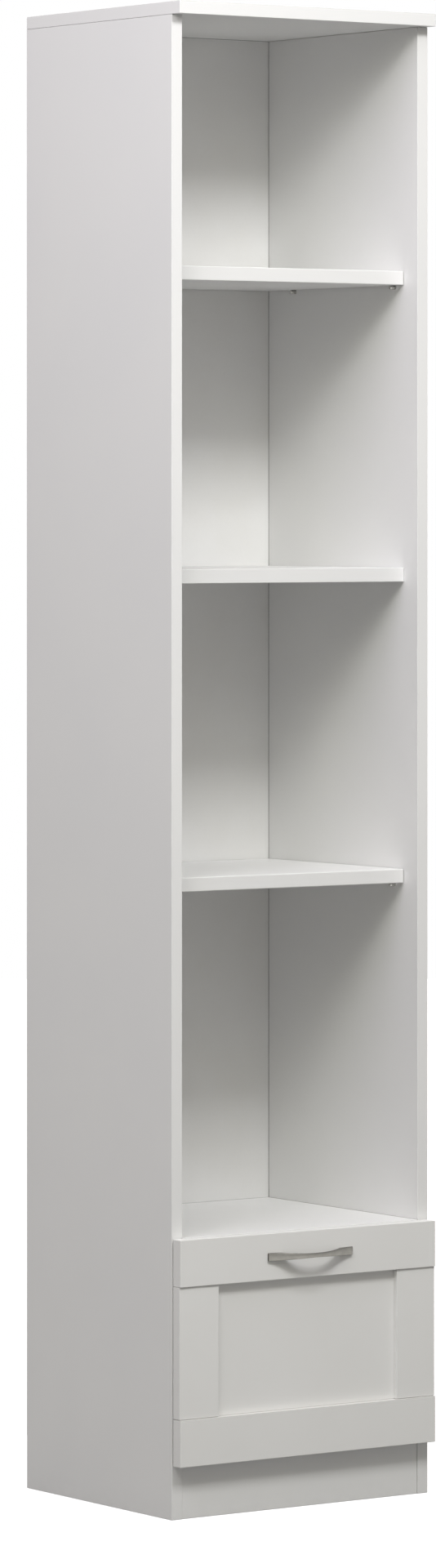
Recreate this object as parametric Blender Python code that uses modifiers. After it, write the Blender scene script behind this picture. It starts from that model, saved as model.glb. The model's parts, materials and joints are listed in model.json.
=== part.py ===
"""A tall white bookcase with three shelves and one framed drawer.

Every board, fitting and runner member is an object of its own.  Lengths are in
metres and +Z is up.  Pieces are modelled from the plane of the side panels'
front edges (y = 0, depth towards +Y), and one empty moves them all so that the
origin lies under the middle of the finished piece of furniture.
"""
import math

import bmesh
import bpy
from mathutils import Matrix, Vector

# Case
CASE_WIDTH = 0.400
CASE_HEIGHT = 1.900
SIDE_DEPTH = 0.329
BOARD_T = 0.016
TOP_OVERHANG = 0.018
BACK_T = 0.003
BACK_INSET = 0.002
PLINTH_HEIGHT = 0.066
PLINTH_SETBACK = 0.001
EDGE_ROUND = 0.0005

# Shelves, by the height of their upper faces
SHELF_T = 0.018
SHELF_SETBACK = 0.029
SHELF_END_GAP = 0.001
UPPER_SHELF_TOP = 1.571
MIDDLE_SHELF_TOP = 1.189
LOWER_SHELF_TOP = 0.801
COVER_BOARD_TOP = 0.352

# Drawer front
FRONT_SIDE_REVEAL = 0.001
FRONT_TOP_REVEAL = 0.0005
FRONT_BOTTOM_REVEAL = 0.0015
FRONT_GAP = 0.002
RAIL_T = 0.016
RAIL_WIDTH = 0.059
STILE_WIDTH = 0.060
STILE_STEP = 0.002
PANEL_RECESS = 0.009
PANEL_T = 0.004
PANEL_GROOVE = 0.008

# Drawer box
BOX_WALL = 0.012
BOX_LIFT = 0.016
BOX_TOP_CLEARANCE = 0.020
BOX_REAR_CLEARANCE = 0.031
BOX_BOTTOM_T = 0.003
BOX_BOTTOM_LIFT = 0.014
BOX_BOTTOM_GROOVE = 0.005

# Handle
HANDLE_LENGTH = 0.131
HANDLE_FOOT = 0.0205
HANDLE_SCREW_INSET = 0.0175
HANDLE_END_HEIGHT = 0.0104
HANDLE_WAIST_HEIGHT = 0.0055
HANDLE_REACH = 0.0185
HANDLE_FOOT_T = 0.0032
HANDLE_WAIST_T = 0.004
HANDLE_FULLNESS = 1.3
HANDLE_ARCH_POWER = 1.5
HANDLE_EDGE_ROUND = 0.0008
HANDLE_FOOT_STATIONS = 5
HANDLE_ARCH_STATIONS = 25

# Runners
RUNNER_SPACE = 0.013
RUNNER_HEIGHT = 0.045
RUNNER_STEEL = 0.0012
RUNNER_SETBACK = 0.002
RUNNER_REAR_CLEARANCE = 0.027
RUNNER_FLANGE = 0.0072
BALL_D = 0.0035
BALL_COUNT = 4
CAGE_STEEL = 0.0006
CAGE_LENGTH = 0.110

# Fittings
JOINT_GAP = 0.0003
PIN_R = 0.0025
PIN_IN_WALL = 0.008
PIN_UNDER_SHELF = 0.008
PIN_ROW_SPACING = 0.220
PIN_FRONT_ROW = 0.049
CAM_R = 0.0072
CAM_WALL = 0.0012
CAM_DISTANCE = 0.024
CAM_SLOT_WIDTH = 0.0016
CAM_SLOT_LENGTH = 0.010
CAM_SLOT_DEPTH = 0.0016
BOLT_R = 0.003
BOLT_THREAD_R = 0.0025
BOLT_THREAD = 0.011
CAM_MARGIN = 0.050
STILE_BOLT_MARGIN = 0.020
TOP_SCREW_R = 0.0030
TOP_SCREW_HEAD_R = 0.0048
TOP_SCREW_LENGTH = 0.048
HANDLE_SCREW_R = 0.0020
HANDLE_SCREW_HEAD_R = 0.0040
HANDLE_SCREW_HEAD = 0.0022
HANDLE_SCREW_BITE = 0.0035
BOX_SCREW_CLEARANCE = 0.002
ROUND_SEGMENTS = 8
CAM_SEGMENTS = 12
SHARP_ANGLE = math.radians(50.0)

# Heights and planes worked out from the sizes above
HALF_WIDTH = CASE_WIDTH / 2
SIDE_TOP = CASE_HEIGHT - BOARD_T - JOINT_GAP
SIDE_FACE = HALF_WIDTH - BOARD_T
BOARD_END = SIDE_FACE - JOINT_GAP
BACK_FACE = SIDE_DEPTH + JOINT_GAP
BOTTOM_BOARD_TOP = PLINTH_HEIGHT + BOARD_T
COVER_BOARD_UNDER = COVER_BOARD_TOP - BOARD_T

FRONT_REAR = -FRONT_GAP
FRONT_FACE = FRONT_REAR - RAIL_T
FRONT_HALF = HALF_WIDTH - FRONT_SIDE_REVEAL
FRONT_TOP = COVER_BOARD_TOP - FRONT_TOP_REVEAL
FRONT_BOTTOM = PLINTH_HEIGHT + FRONT_BOTTOM_REVEAL
TOP_RAIL_UNDER = FRONT_TOP - RAIL_WIDTH
BOTTOM_RAIL_TOP = FRONT_BOTTOM + RAIL_WIDTH
PANEL_FACE = FRONT_FACE + PANEL_RECESS

HANDLE_SCREW_SPACING = HANDLE_LENGTH - 2 * HANDLE_SCREW_INSET
HANDLE_Z = FRONT_TOP - RAIL_WIDTH / 2
HANDLE_BACK = FRONT_FACE - JOINT_GAP

BOX_HALF = SIDE_FACE - RUNNER_SPACE
BOX_BOTTOM = BOTTOM_BOARD_TOP + BOX_LIFT
BOX_TOP = min(
    COVER_BOARD_UNDER - BOX_TOP_CLEARANCE,
    HANDLE_Z - HANDLE_SCREW_HEAD_R - BOX_SCREW_CLEARANCE,
)
BOX_FRONT = FRONT_REAR + JOINT_GAP
BOX_REAR = SIDE_DEPTH - BOX_REAR_CLEARANCE
BOX_FLOOR = BOX_BOTTOM + BOX_BOTTOM_LIFT

RUNNER_Z = (BOX_BOTTOM + BOX_TOP) / 2
RUNNER_FRONT = RUNNER_SETBACK
RUNNER_REAR = SIDE_DEPTH - RUNNER_REAR_CLEARANCE

REARMOST = BACK_FACE + BACK_T
FOREMOST = HANDLE_BACK - HANDLE_REACH
CASE_FRONT_Y = -(REARMOST + FOREMOST) / 2


def make_collection(name):
    """A collection linked to the scene."""
    collection = bpy.data.collections.new(name)
    bpy.context.scene.collection.children.link(collection)
    return collection


def make_material(name, colour, roughness, metallic=0.0):
    """A Principled material of one colour."""
    material = bpy.data.materials.new(name)
    material.use_nodes = True
    shader = material.node_tree.nodes["Principled BSDF"]
    shader.inputs["Base Color"].default_value = (*colour, 1.0)
    shader.inputs["Roughness"].default_value = roughness
    shader.inputs["Metallic"].default_value = metallic
    return material


def make_empty(name, parent=None):
    """A parent for the pieces that move together."""
    empty = bpy.data.objects.new(name, None)
    PARTS.objects.link(empty)
    empty.parent = parent
    return empty


def add_object(name, mesh, material, parent, location=(0.0, 0.0, 0.0)):
    """An object in the parts collection, carrying one material."""
    obj = bpy.data.objects.new(name, mesh)
    PARTS.objects.link(obj)
    obj.parent = parent
    obj.location = location
    if material is not None:
        mesh.materials.append(material)
    return obj


def mesh_from(bm, name, turn_out=False):
    """A mesh from a bmesh; a hand-made body also has its faces turned outwards."""
    if turn_out:
        bmesh.ops.recalc_face_normals(bm, faces=bm.faces)
    mesh = bpy.data.meshes.new(name)
    bm.to_mesh(mesh)
    bm.free()
    return mesh


def add_box(bm, low, high):
    """A box between two corners, added to a bmesh."""
    low = Vector(low)
    high = Vector(high)
    size = high - low
    place = Matrix.Translation((low + high) / 2) @ Matrix.Diagonal((*size, 1.0))
    bmesh.ops.create_cube(bm, size=1.0, matrix=place)


def aim(point, direction):
    """A matrix that puts +Z along a direction, with the origin at a point."""
    turn = Vector(direction).to_track_quat("Z", "Y").to_matrix().to_4x4()
    return Matrix.Translation(point) @ turn


def add_rod(bm, start, end, radius, segments=ROUND_SEGMENTS):
    """A round bar between two points, added to a bmesh."""
    start = Vector(start)
    end = Vector(end)
    along = end - start
    bmesh.ops.create_cone(
        bm,
        cap_ends=True,
        segments=segments,
        radius1=radius,
        radius2=radius,
        depth=along.length,
        matrix=aim((start + end) / 2, along),
    )


def board(name, low, high, material, parent, rounding=EDGE_ROUND):
    """A board between two corners, its edges eased, with its origin in its middle."""
    low = Vector(low)
    high = Vector(high)
    middle = (low + high) / 2
    bm = bmesh.new()
    add_box(bm, low - middle, high - middle)
    obj = add_object(name, mesh_from(bm, name), material, parent, middle)
    bevel = obj.modifiers.new("eased_edges", "BEVEL")
    bevel.width = rounding
    bevel.segments = 1
    return obj


def cut(obj, name, shapes):
    """Take a set of separate shapes out of an object."""
    mesh = mesh_from(shapes, name)
    cutter = bpy.data.objects.new(name, mesh)
    CUTTERS.objects.link(cutter)
    cutter.parent = CASE
    cutter.hide_render = True
    cutter.display_type = "WIRE"
    boolean = obj.modifiers.new(name, "BOOLEAN")
    boolean.operation = "DIFFERENCE"
    boolean.solver = "EXACT"
    boolean.object = cutter


def evaluated_mesh(obj, name):
    """The mesh of an object with its modifiers worked in, welded shut."""
    bpy.context.view_layer.update()
    graph = bpy.context.evaluated_depsgraph_get()
    mesh = bpy.data.meshes.new_from_object(obj.evaluated_get(graph))
    mesh.name = name
    bm = bmesh.new()
    bm.from_mesh(mesh)
    bmesh.ops.remove_doubles(bm, verts=bm.verts, dist=1e-6)
    bm.to_mesh(mesh)
    bm.free()
    return mesh


def turned(name, profile, segments=ROUND_SEGMENTS):
    """A turned mesh: (radius, height) points, from the top of the axis down its outer side."""
    bm = bmesh.new()
    corners = [bm.verts.new((radius, 0.0, height)) for radius, height in profile]
    for upper, lower in zip(corners, corners[1:]):
        bm.edges.new((upper, lower))
    mesh = bpy.data.meshes.new(name)
    bm.to_mesh(mesh)
    bm.free()
    obj = bpy.data.objects.new(name, mesh)
    CUTTERS.objects.link(obj)
    screw = obj.modifiers.new("turn", "SCREW")
    screw.steps = segments
    screw.render_steps = segments
    screw.use_merge_vertices = True
    screw.merge_threshold = 0.00001
    result = evaluated_mesh(obj, name)
    bpy.data.objects.remove(obj)
    return result


def add_mesh(bm, mesh, place):
    """A copy of a mesh, moved to its place and added to a bmesh."""
    placed = mesh.copy()
    placed.transform(place)
    bm.from_mesh(placed)
    bpy.data.meshes.remove(placed)


def placed(name, mesh, place, parent):
    """An object that shows a shared mesh at its place."""
    obj = add_object(name, mesh, None, parent)
    obj.matrix_local = place
    return obj


def smooth(mesh, material):
    """Give a turned mesh its material and round shading."""
    mesh.materials.append(material)
    mesh.shade_smooth()
    mesh.set_sharp_from_angle(angle=SHARP_ANGLE)
    return mesh


def screw_profile(head_r, head, shank_r, length, widen=0.0):
    """A countersunk screw pointing down from its head's face; widened, the hole for it."""
    return [
        (0.0, widen),
        (head_r + widen, widen),
        (head_r + widen, 0.0),
        (shank_r + widen, -head),
        (shank_r + widen, -length - widen),
        (0.0, -length - widen),
    ]


def peg_profile(radius, length):
    """A plain peg along +Z from the origin, with chamfered ends."""
    chamfer = radius / 4
    return [
        (0.0, length),
        (radius - chamfer, length),
        (radius, length - chamfer),
        (radius, chamfer),
        (radius - chamfer, 0.0),
        (0.0, 0.0),
    ]


def fixed_boards():
    """Name, lowest and highest corner of each board that is bolted between the sides."""
    return {
        "shelf_middle": (
            (-BOARD_END, SHELF_SETBACK, MIDDLE_SHELF_TOP - SHELF_T),
            (BOARD_END, SIDE_DEPTH, MIDDLE_SHELF_TOP),
        ),
        "drawer_cover_board": (
            (-BOARD_END, 0.0, COVER_BOARD_UNDER),
            (BOARD_END, SIDE_DEPTH, COVER_BOARD_TOP),
        ),
        "bottom_board": (
            (-BOARD_END, 0.0, PLINTH_HEIGHT),
            (BOARD_END, SIDE_DEPTH, BOTTOM_BOARD_TOP),
        ),
    }


def cam_rows(low, high):
    """The two depths at which a board's end is bolted."""
    return low[1] + CAM_MARGIN, high[1] - CAM_MARGIN


def loose_shelves():
    """Name and upper face of each shelf that lies on pins."""
    return {"shelf_upper": UPPER_SHELF_TOP, "shelf_lower": LOWER_SHELF_TOP}


def pin_rows():
    """The depths of the front and the rear shelf pins."""
    return PIN_FRONT_ROW, PIN_FRONT_ROW + PIN_ROW_SPACING


def top_screw_rows():
    """The depths of the screws that hold the top panel."""
    return CAM_MARGIN, SIDE_DEPTH - CAM_MARGIN


def build_side(side, name):
    """A side panel, from the floor to the top panel, drilled for all that it holds."""
    low = (min(side * HALF_WIDTH, side * SIDE_FACE), 0.0, 0.0)
    high = (max(side * HALF_WIDTH, side * SIDE_FACE), SIDE_DEPTH, SIDE_TOP)
    obj = board(name, low, high, WHITE_BOARD, CASE)
    holes = bmesh.new()
    mouth = side * (SIDE_FACE - JOINT_GAP)

    def bore(y, z, radius, depth):
        end = side * (SIDE_FACE + depth + JOINT_GAP)
        add_rod(holes, (mouth, y, z), (end, y, z), radius + JOINT_GAP)

    for start, end in fixed_boards().values():
        for y in cam_rows(start, end):
            bore(y, (start[2] + end[2]) / 2, BOLT_THREAD_R, BOLT_THREAD)
    for top in loose_shelves().values():
        for y in pin_rows():
            bore(y, top - SHELF_T - JOINT_GAP - PIN_R, PIN_R, PIN_IN_WALL)
    middle = side * (HALF_WIDTH - BOARD_T / 2)
    foot = CASE_HEIGHT - TOP_SCREW_LENGTH - JOINT_GAP
    for y in top_screw_rows():
        add_rod(holes, (middle, y, CASE_HEIGHT), (middle, y, foot), TOP_SCREW_R + JOINT_GAP)
    cut(obj, name + "_holes", holes)


def build_top():
    """The top panel on the sides, over the drawer's front, and the four screws through it."""
    low = (-HALF_WIDTH, -TOP_OVERHANG, CASE_HEIGHT - BOARD_T)
    high = (HALF_WIDTH, SIDE_DEPTH, CASE_HEIGHT)
    obj = board("top_panel", low, high, WHITE_BOARD, CASE)
    sizes = (TOP_SCREW_HEAD_R, TOP_SCREW_HEAD_R, TOP_SCREW_R, TOP_SCREW_LENGTH)
    hole = turned("top_screw_hole", screw_profile(*sizes, JOINT_GAP))
    screw = smooth(turned("top_screw", screw_profile(*sizes)), BRIGHT_ZINC)
    holes = bmesh.new()
    for hand, side in SIDES.items():
        for y, row in zip(top_screw_rows(), ROWS):
            place = Matrix.Translation((side * (HALF_WIDTH - BOARD_T / 2), y, CASE_HEIGHT))
            add_mesh(holes, hole, place)
            placed(f"top_screw_{row}_{hand}", screw, place, CASE)
    cut(obj, "top_panel_holes", holes)


def build_back():
    """The thin back panel over the rear edges."""
    low = (-HALF_WIDTH + BACK_INSET, BACK_FACE, PLINTH_HEIGHT + BACK_INSET)
    high = (HALF_WIDTH - BACK_INSET, BACK_FACE + BACK_T, CASE_HEIGHT - BACK_INSET)
    board("back_panel", low, high, WHITE_BACK, CASE)


def build_plinth():
    """The plinth board under the bottom board, between the sides."""
    low = (-BOARD_END, PLINTH_SETBACK, 0.0)
    high = (BOARD_END, PLINTH_SETBACK + BOARD_T, PLINTH_HEIGHT - JOINT_GAP)
    board("plinth", low, high, WHITE_BOARD, CASE)


def cam_reach(thickness):
    """How far a cam reaches into a board: past its bolt, by the cam's own wall."""
    return thickness / 2 + BOLT_R + CAM_WALL


def fitting_mesh(thickness):
    """A cam along +Z in a board's face, tightened on the bolt that leaves it along +X."""
    body = bmesh.new()
    add_rod(body, (0.0, 0.0, 0.0), (0.0, 0.0, cam_reach(thickness)), CAM_R, CAM_SEGMENTS)
    cam = bpy.data.objects.new("cam", mesh_from(body, "cam"))
    CUTTERS.objects.link(cam)
    profile = [
        (0.0, CAM_DISTANCE + BOLT_THREAD),
        (BOLT_THREAD_R / 2, CAM_DISTANCE + BOLT_THREAD),
        (BOLT_THREAD_R, CAM_DISTANCE + BOLT_THREAD - BOLT_THREAD_R),
        (BOLT_THREAD_R, CAM_DISTANCE),
        (BOLT_R, CAM_DISTANCE),
        (BOLT_R, 0.0),
        (0.0, 0.0),
    ]
    bolt = bpy.data.objects.new("bolt", turned("bolt", profile))
    CUTTERS.objects.link(bolt)
    bolt.matrix_local = aim((0.0, 0.0, thickness / 2), (1.0, 0.0, 0.0))
    join = cam.modifiers.new("bolt", "BOOLEAN")
    join.operation = "UNION"
    join.solver = "EXACT"
    join.object = bolt
    groove = bmesh.new()
    corner = Vector((CAM_SLOT_WIDTH / 2, CAM_SLOT_LENGTH / 2, CAM_SLOT_DEPTH))
    add_box(groove, -corner, corner)
    cut(cam, "cam_slot", groove)
    slot = cam.modifiers["cam_slot"].object
    slot.parent = None
    mesh = evaluated_mesh(cam, "cam_fitting")
    for helper in (cam, bolt, slot):
        bpy.data.objects.remove(helper)
    return smooth(mesh, CAST_ZINC)


def build_fixed_board(name, low, high):
    """A board between the sides, with the four cams in its underside that bolt it to them."""
    obj = board(name, low, high, WHITE_BOARD, CASE)
    thickness = high[2] - low[2]
    level = (low[2] + high[2]) / 2
    roof = low[2] + cam_reach(thickness) + JOINT_GAP
    fitting = fitting_mesh(thickness)
    pockets = bmesh.new()
    bores = bmesh.new()
    for hand, side in SIDES.items():
        for y, row in zip(cam_rows(low, high), ROWS):
            x = side * (SIDE_FACE - CAM_DISTANCE)
            add_rod(pockets, (x, y, low[2] - JOINT_GAP), (x, y, roof), CAM_R + JOINT_GAP, CAM_SEGMENTS)
            add_rod(bores, (side * SIDE_FACE, y, level), (x, y, level), BOLT_R + JOINT_GAP)
            turn = Matrix.Rotation(math.pi if side < 0 else 0.0, 4, "Z")
            place = Matrix.Translation((x, y, low[2])) @ turn
            placed(f"cam_fitting_{name}_{row}_{hand}", fitting, place, CASE)
    cut(obj, name + "_pockets", pockets)
    cut(obj, name + "_bores", bores)


def build_loose_shelf(name, top):
    """A shelf that lies on four pins."""
    half = SIDE_FACE - SHELF_END_GAP
    low = (-half, SHELF_SETBACK, top - SHELF_T)
    high = (half, SIDE_DEPTH - SHELF_END_GAP, top)
    board(name, low, high, WHITE_BOARD, CASE, 2 * EDGE_ROUND)
    pin = smooth(turned("shelf_pin", peg_profile(PIN_R, PIN_IN_WALL + PIN_UNDER_SHELF)), NICKEL)
    for hand, side in SIDES.items():
        for y, row in zip(pin_rows(), ROWS):
            point = (side * (SIDE_FACE + PIN_IN_WALL), y, top - SHELF_T - JOINT_GAP - PIN_R)
            place = aim(point, (-side, 0.0, 0.0))
            placed(f"{name}_pin_{row}_{hand}", pin, place, CASE)


def channel(name, outline, parent):
    """A runner member or cage: an outline in x and z, carried along the depth."""
    points, front, rear = outline
    bm = bmesh.new()
    corners = [bm.verts.new((x, front, z)) for x, z in points]
    face = bm.faces.new(corners)
    grown = bmesh.ops.extrude_face_region(bm, geom=[face])
    moved = [item for item in grown["geom"] if isinstance(item, bmesh.types.BMVert)]
    bmesh.ops.translate(bm, vec=(0.0, rear - front, 0.0), verts=moved)
    return add_object(name, mesh_from(bm, name, True), GALVANISED, parent)


def channel_points(side, web, steel, lip, half_height):
    """A C section on its side: a web at a distance from the wall, and flanges out to a lip."""
    inner = web + math.copysign(steel, lip - web)
    points = [
        (web, -half_height),
        (lip, -half_height),
        (lip, -half_height + steel),
        (inner, -half_height + steel),
        (inner, half_height - steel),
        (lip, half_height - steel),
        (lip, half_height),
        (web, half_height),
    ]
    return [(side * (SIDE_FACE - x), RUNNER_Z + z) for x, z in points]


def build_cage(name, side, web, ball_x, ball_z, parent):
    """A ball cage between two members, with its balls seated in its flanges."""
    middle = (RUNNER_FRONT + RUNNER_REAR) / 2
    front = middle - CAGE_LENGTH / 2
    rear = middle + CAGE_LENGTH / 2
    half_height = ball_z + CAGE_STEEL / 2
    points = channel_points(side, web, CAGE_STEEL, ball_x + BALL_D / 2, half_height)
    cage = channel(name, (points, front, rear), parent)
    ball = bmesh.new()
    bmesh.ops.create_uvsphere(ball, u_segments=8, v_segments=4, radius=BALL_D / 2)
    ball = mesh_from(ball, "ball")
    balls = bmesh.new()
    for row in range(BALL_COUNT):
        y = front + CAGE_LENGTH / BALL_COUNT * (row + 0.5)
        for level in (-ball_z, ball_z):
            add_mesh(balls, ball, Matrix.Translation((side * (SIDE_FACE - ball_x), y, RUNNER_Z + level)))
    cut(cage, name + "_balls", balls)
    cage.modifiers[name + "_balls"].operation = "UNION"


def build_runner(side, hand):
    """A full-extension runner: three members, with a ball cage in each of the two gaps."""
    steel = RUNNER_STEEL
    half = RUNNER_HEIGHT / 2
    stage = steel + BALL_D + 2 * JOINT_GAP
    outer_web = JOINT_GAP
    outer_cage_web = outer_web + steel + JOINT_GAP
    middle_web = outer_cage_web + CAGE_STEEL + JOINT_GAP
    inner_cage_web = middle_web + steel + JOINT_GAP
    inner_lip = inner_cage_web + CAGE_STEEL + JOINT_GAP
    inner_web = RUNNER_SPACE - JOINT_GAP
    outer_lip = outer_web + steel + RUNNER_FLANGE
    middle_lip = middle_web + steel + RUNNER_FLANGE - JOINT_GAP
    middle_half = half - stage
    inner_half = middle_half - stage
    members = (
        ("outer", outer_web, outer_lip, half, CASE),
        ("middle", middle_web, middle_lip, middle_half, MIDDLE_MEMBERS[hand]),
        ("inner", inner_web, inner_lip, inner_half, DRAWER),
    )
    for member, web, lip, half_height, parent in members:
        points = channel_points(side, web, steel, lip, half_height)
        channel(f"runner_{member}_{hand}", (points, RUNNER_FRONT, RUNNER_REAR), parent)
    below_steel = steel + JOINT_GAP + BALL_D / 2
    ball_x = (middle_web + outer_lip) / 2
    name = "ball_cage_outer_" + hand
    build_cage(name, side, outer_cage_web, ball_x, half - below_steel, OUTER_CAGES[hand])
    ball_x = (inner_lip + middle_lip) / 2
    name = "ball_cage_inner_" + hand
    build_cage(name, side, inner_cage_web, ball_x, middle_half - below_steel, INNER_CAGES[hand])


def panel_groove():
    """The grooves in the frame's inner edges, as one block the size of the panel and its gap."""
    half = FRONT_HALF - STILE_WIDTH + PANEL_GROOVE + JOINT_GAP
    groove = bmesh.new()
    low = (-half, PANEL_FACE - JOINT_GAP, BOTTOM_RAIL_TOP - PANEL_GROOVE - JOINT_GAP)
    high = (half, PANEL_FACE + PANEL_T + JOINT_GAP, TOP_RAIL_UNDER + PANEL_GROOVE + JOINT_GAP)
    add_box(groove, low, high)
    return groove


def floor_groove():
    """The grooves for the drawer's bottom, as one block the size of the bottom and its gap."""
    low, high = bottom_corners()
    groove = bmesh.new()
    add_box(groove, [value - JOINT_GAP for value in low], [value + JOINT_GAP for value in high])
    return groove


def bottom_corners():
    """The lowest and highest corner of the drawer's bottom, seated in its grooves."""
    reach = BOX_HALF - BOX_WALL + BOX_BOTTOM_GROOVE
    low = (-reach, FRONT_REAR - BOX_BOTTOM_GROOVE, BOX_FLOOR)
    high = (reach, BOX_REAR - BOX_WALL + BOX_BOTTOM_GROOVE, BOX_FLOOR + BOX_BOTTOM_T)
    return low, high


def drawer_cam_rows():
    """The heights at which each side of the drawer is bolted to the front."""
    return BOTTOM_RAIL_TOP + STILE_BOLT_MARGIN, TOP_RAIL_UNDER - STILE_BOLT_MARGIN


def build_front():
    """The framed drawer front: two rails, two stiles set a little back, and a panel."""
    rails = {
        "drawer_rail_top": (TOP_RAIL_UNDER, FRONT_TOP),
        "drawer_rail_bottom": (FRONT_BOTTOM, BOTTOM_RAIL_TOP),
    }
    for name, (under, top) in rails.items():
        low = (-FRONT_HALF, FRONT_FACE, under)
        high = (FRONT_HALF, FRONT_REAR, top)
        rail = board(name, low, high, WHITE_FRONT, DRAWER)
        cut(rail, name + "_panel_groove", panel_groove())
        if name == "drawer_rail_bottom":
            cut(rail, name + "_floor_groove", floor_groove())
        else:
            holes = bmesh.new()
            for side in SIDES.values():
                x = side * HANDLE_SCREW_SPACING / 2
                start = (x, FRONT_REAR + JOINT_GAP, HANDLE_Z)
                end = (x, FRONT_FACE - JOINT_GAP, HANDLE_Z)
                add_rod(holes, start, end, HANDLE_SCREW_R + JOINT_GAP)
            cut(rail, name + "_handle_holes", holes)
    bolt_x = BOX_HALF - BOX_WALL / 2
    for hand, side in SIDES.items():
        name = "drawer_stile_" + hand
        edges = sorted((side * FRONT_HALF, side * (FRONT_HALF - STILE_WIDTH)))
        low = (edges[0], FRONT_FACE + STILE_STEP, BOTTOM_RAIL_TOP + JOINT_GAP)
        high = (edges[1], FRONT_REAR, TOP_RAIL_UNDER - JOINT_GAP)
        stile = board(name, low, high, WHITE_FRONT, DRAWER)
        cut(stile, name + "_panel_groove", panel_groove())
        holes = bmesh.new()
        for z in drawer_cam_rows():
            start = (side * bolt_x, BOX_FRONT, z)
            end = (side * bolt_x, FRONT_REAR - BOLT_THREAD - JOINT_GAP, z)
            add_rod(holes, start, end, BOLT_THREAD_R + JOINT_GAP)
        cut(stile, name + "_bolt_holes", holes)
    half = FRONT_HALF - STILE_WIDTH + PANEL_GROOVE
    low = (-half, PANEL_FACE, BOTTOM_RAIL_TOP - PANEL_GROOVE)
    high = (half, PANEL_FACE + PANEL_T, TOP_RAIL_UNDER + PANEL_GROOVE)
    board("drawer_panel", low, high, WHITE_FRONT, DRAWER)


def build_box():
    """The drawer box behind the front: two sides, a back, and a thin bottom in grooves."""
    fitting = fitting_mesh(BOX_WALL)
    for hand, side in SIDES.items():
        name = "drawer_side_" + hand
        face = side * BOX_HALF
        middle = side * (BOX_HALF - BOX_WALL / 2)
        edges = sorted((face, side * (BOX_HALF - BOX_WALL)))
        low = (edges[0], BOX_FRONT, BOX_BOTTOM)
        high = (edges[1], BOX_REAR, BOX_TOP)
        wall = board(name, low, high, WHITE_BOARD, DRAWER)
        cut(wall, name + "_floor_groove", floor_groove())
        pockets = bmesh.new()
        bores = bmesh.new()
        cam_y = FRONT_REAR + CAM_DISTANCE
        floor = side * (BOX_HALF - cam_reach(BOX_WALL) - JOINT_GAP)
        for z, row in zip(drawer_cam_rows(), ("lower", "upper")):
            start = (face + side * JOINT_GAP, cam_y, z)
            add_rod(pockets, start, (floor, cam_y, z), CAM_R + JOINT_GAP, CAM_SEGMENTS)
            add_rod(bores, (middle, FRONT_REAR, z), (middle, cam_y, z), BOLT_R + JOINT_GAP)
            upright = Matrix(((0, 0, -side), (-1, 0, 0), (0, side, 0))).to_4x4()
            place = Matrix.Translation((face, cam_y, z)) @ upright
            placed(f"cam_fitting_drawer_{row}_{hand}", fitting, place, DRAWER)
        cut(wall, name + "_pockets", pockets)
        cut(wall, name + "_bores", bores)
    half = BOX_HALF - BOX_WALL - JOINT_GAP
    low = (-half, BOX_REAR - BOX_WALL, BOX_BOTTOM)
    wall = board("drawer_back", low, (half, BOX_REAR, BOX_TOP), WHITE_BOARD, DRAWER)
    cut(wall, "drawer_back_floor_groove", floor_groove())
    low, high = bottom_corners()
    board("drawer_bottom", low, high, WHITE_BACK, DRAWER)


def bell(x, half_length, fullness=1.0):
    """A smooth rise from 0 at the ends of a span to 1 in its middle; more fullness makes it rounder."""
    share = min(abs(x) / half_length, 1.0)
    return (math.cos(math.pi * share**fullness) + 1.0) / 2


def handle_stations():
    """Places along the handle, and how far the arch between its two flat feet has risen there."""
    hollow = HANDLE_LENGTH / 2 - HANDLE_FOOT
    foot = [hollow + HANDLE_FOOT * step / (HANDLE_FOOT_STATIONS - 1) for step in range(HANDLE_FOOT_STATIONS)]
    turns = [math.pi * step / (HANDLE_ARCH_STATIONS - 1) for step in range(1, HANDLE_ARCH_STATIONS - 1)]
    stations = [(-x, 0.0) for x in reversed(foot)]
    stations += [(-hollow * math.cos(turn), math.sin(turn) ** HANDLE_ARCH_POWER) for turn in turns]
    return stations + [(x, 0.0) for x in foot]


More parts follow.
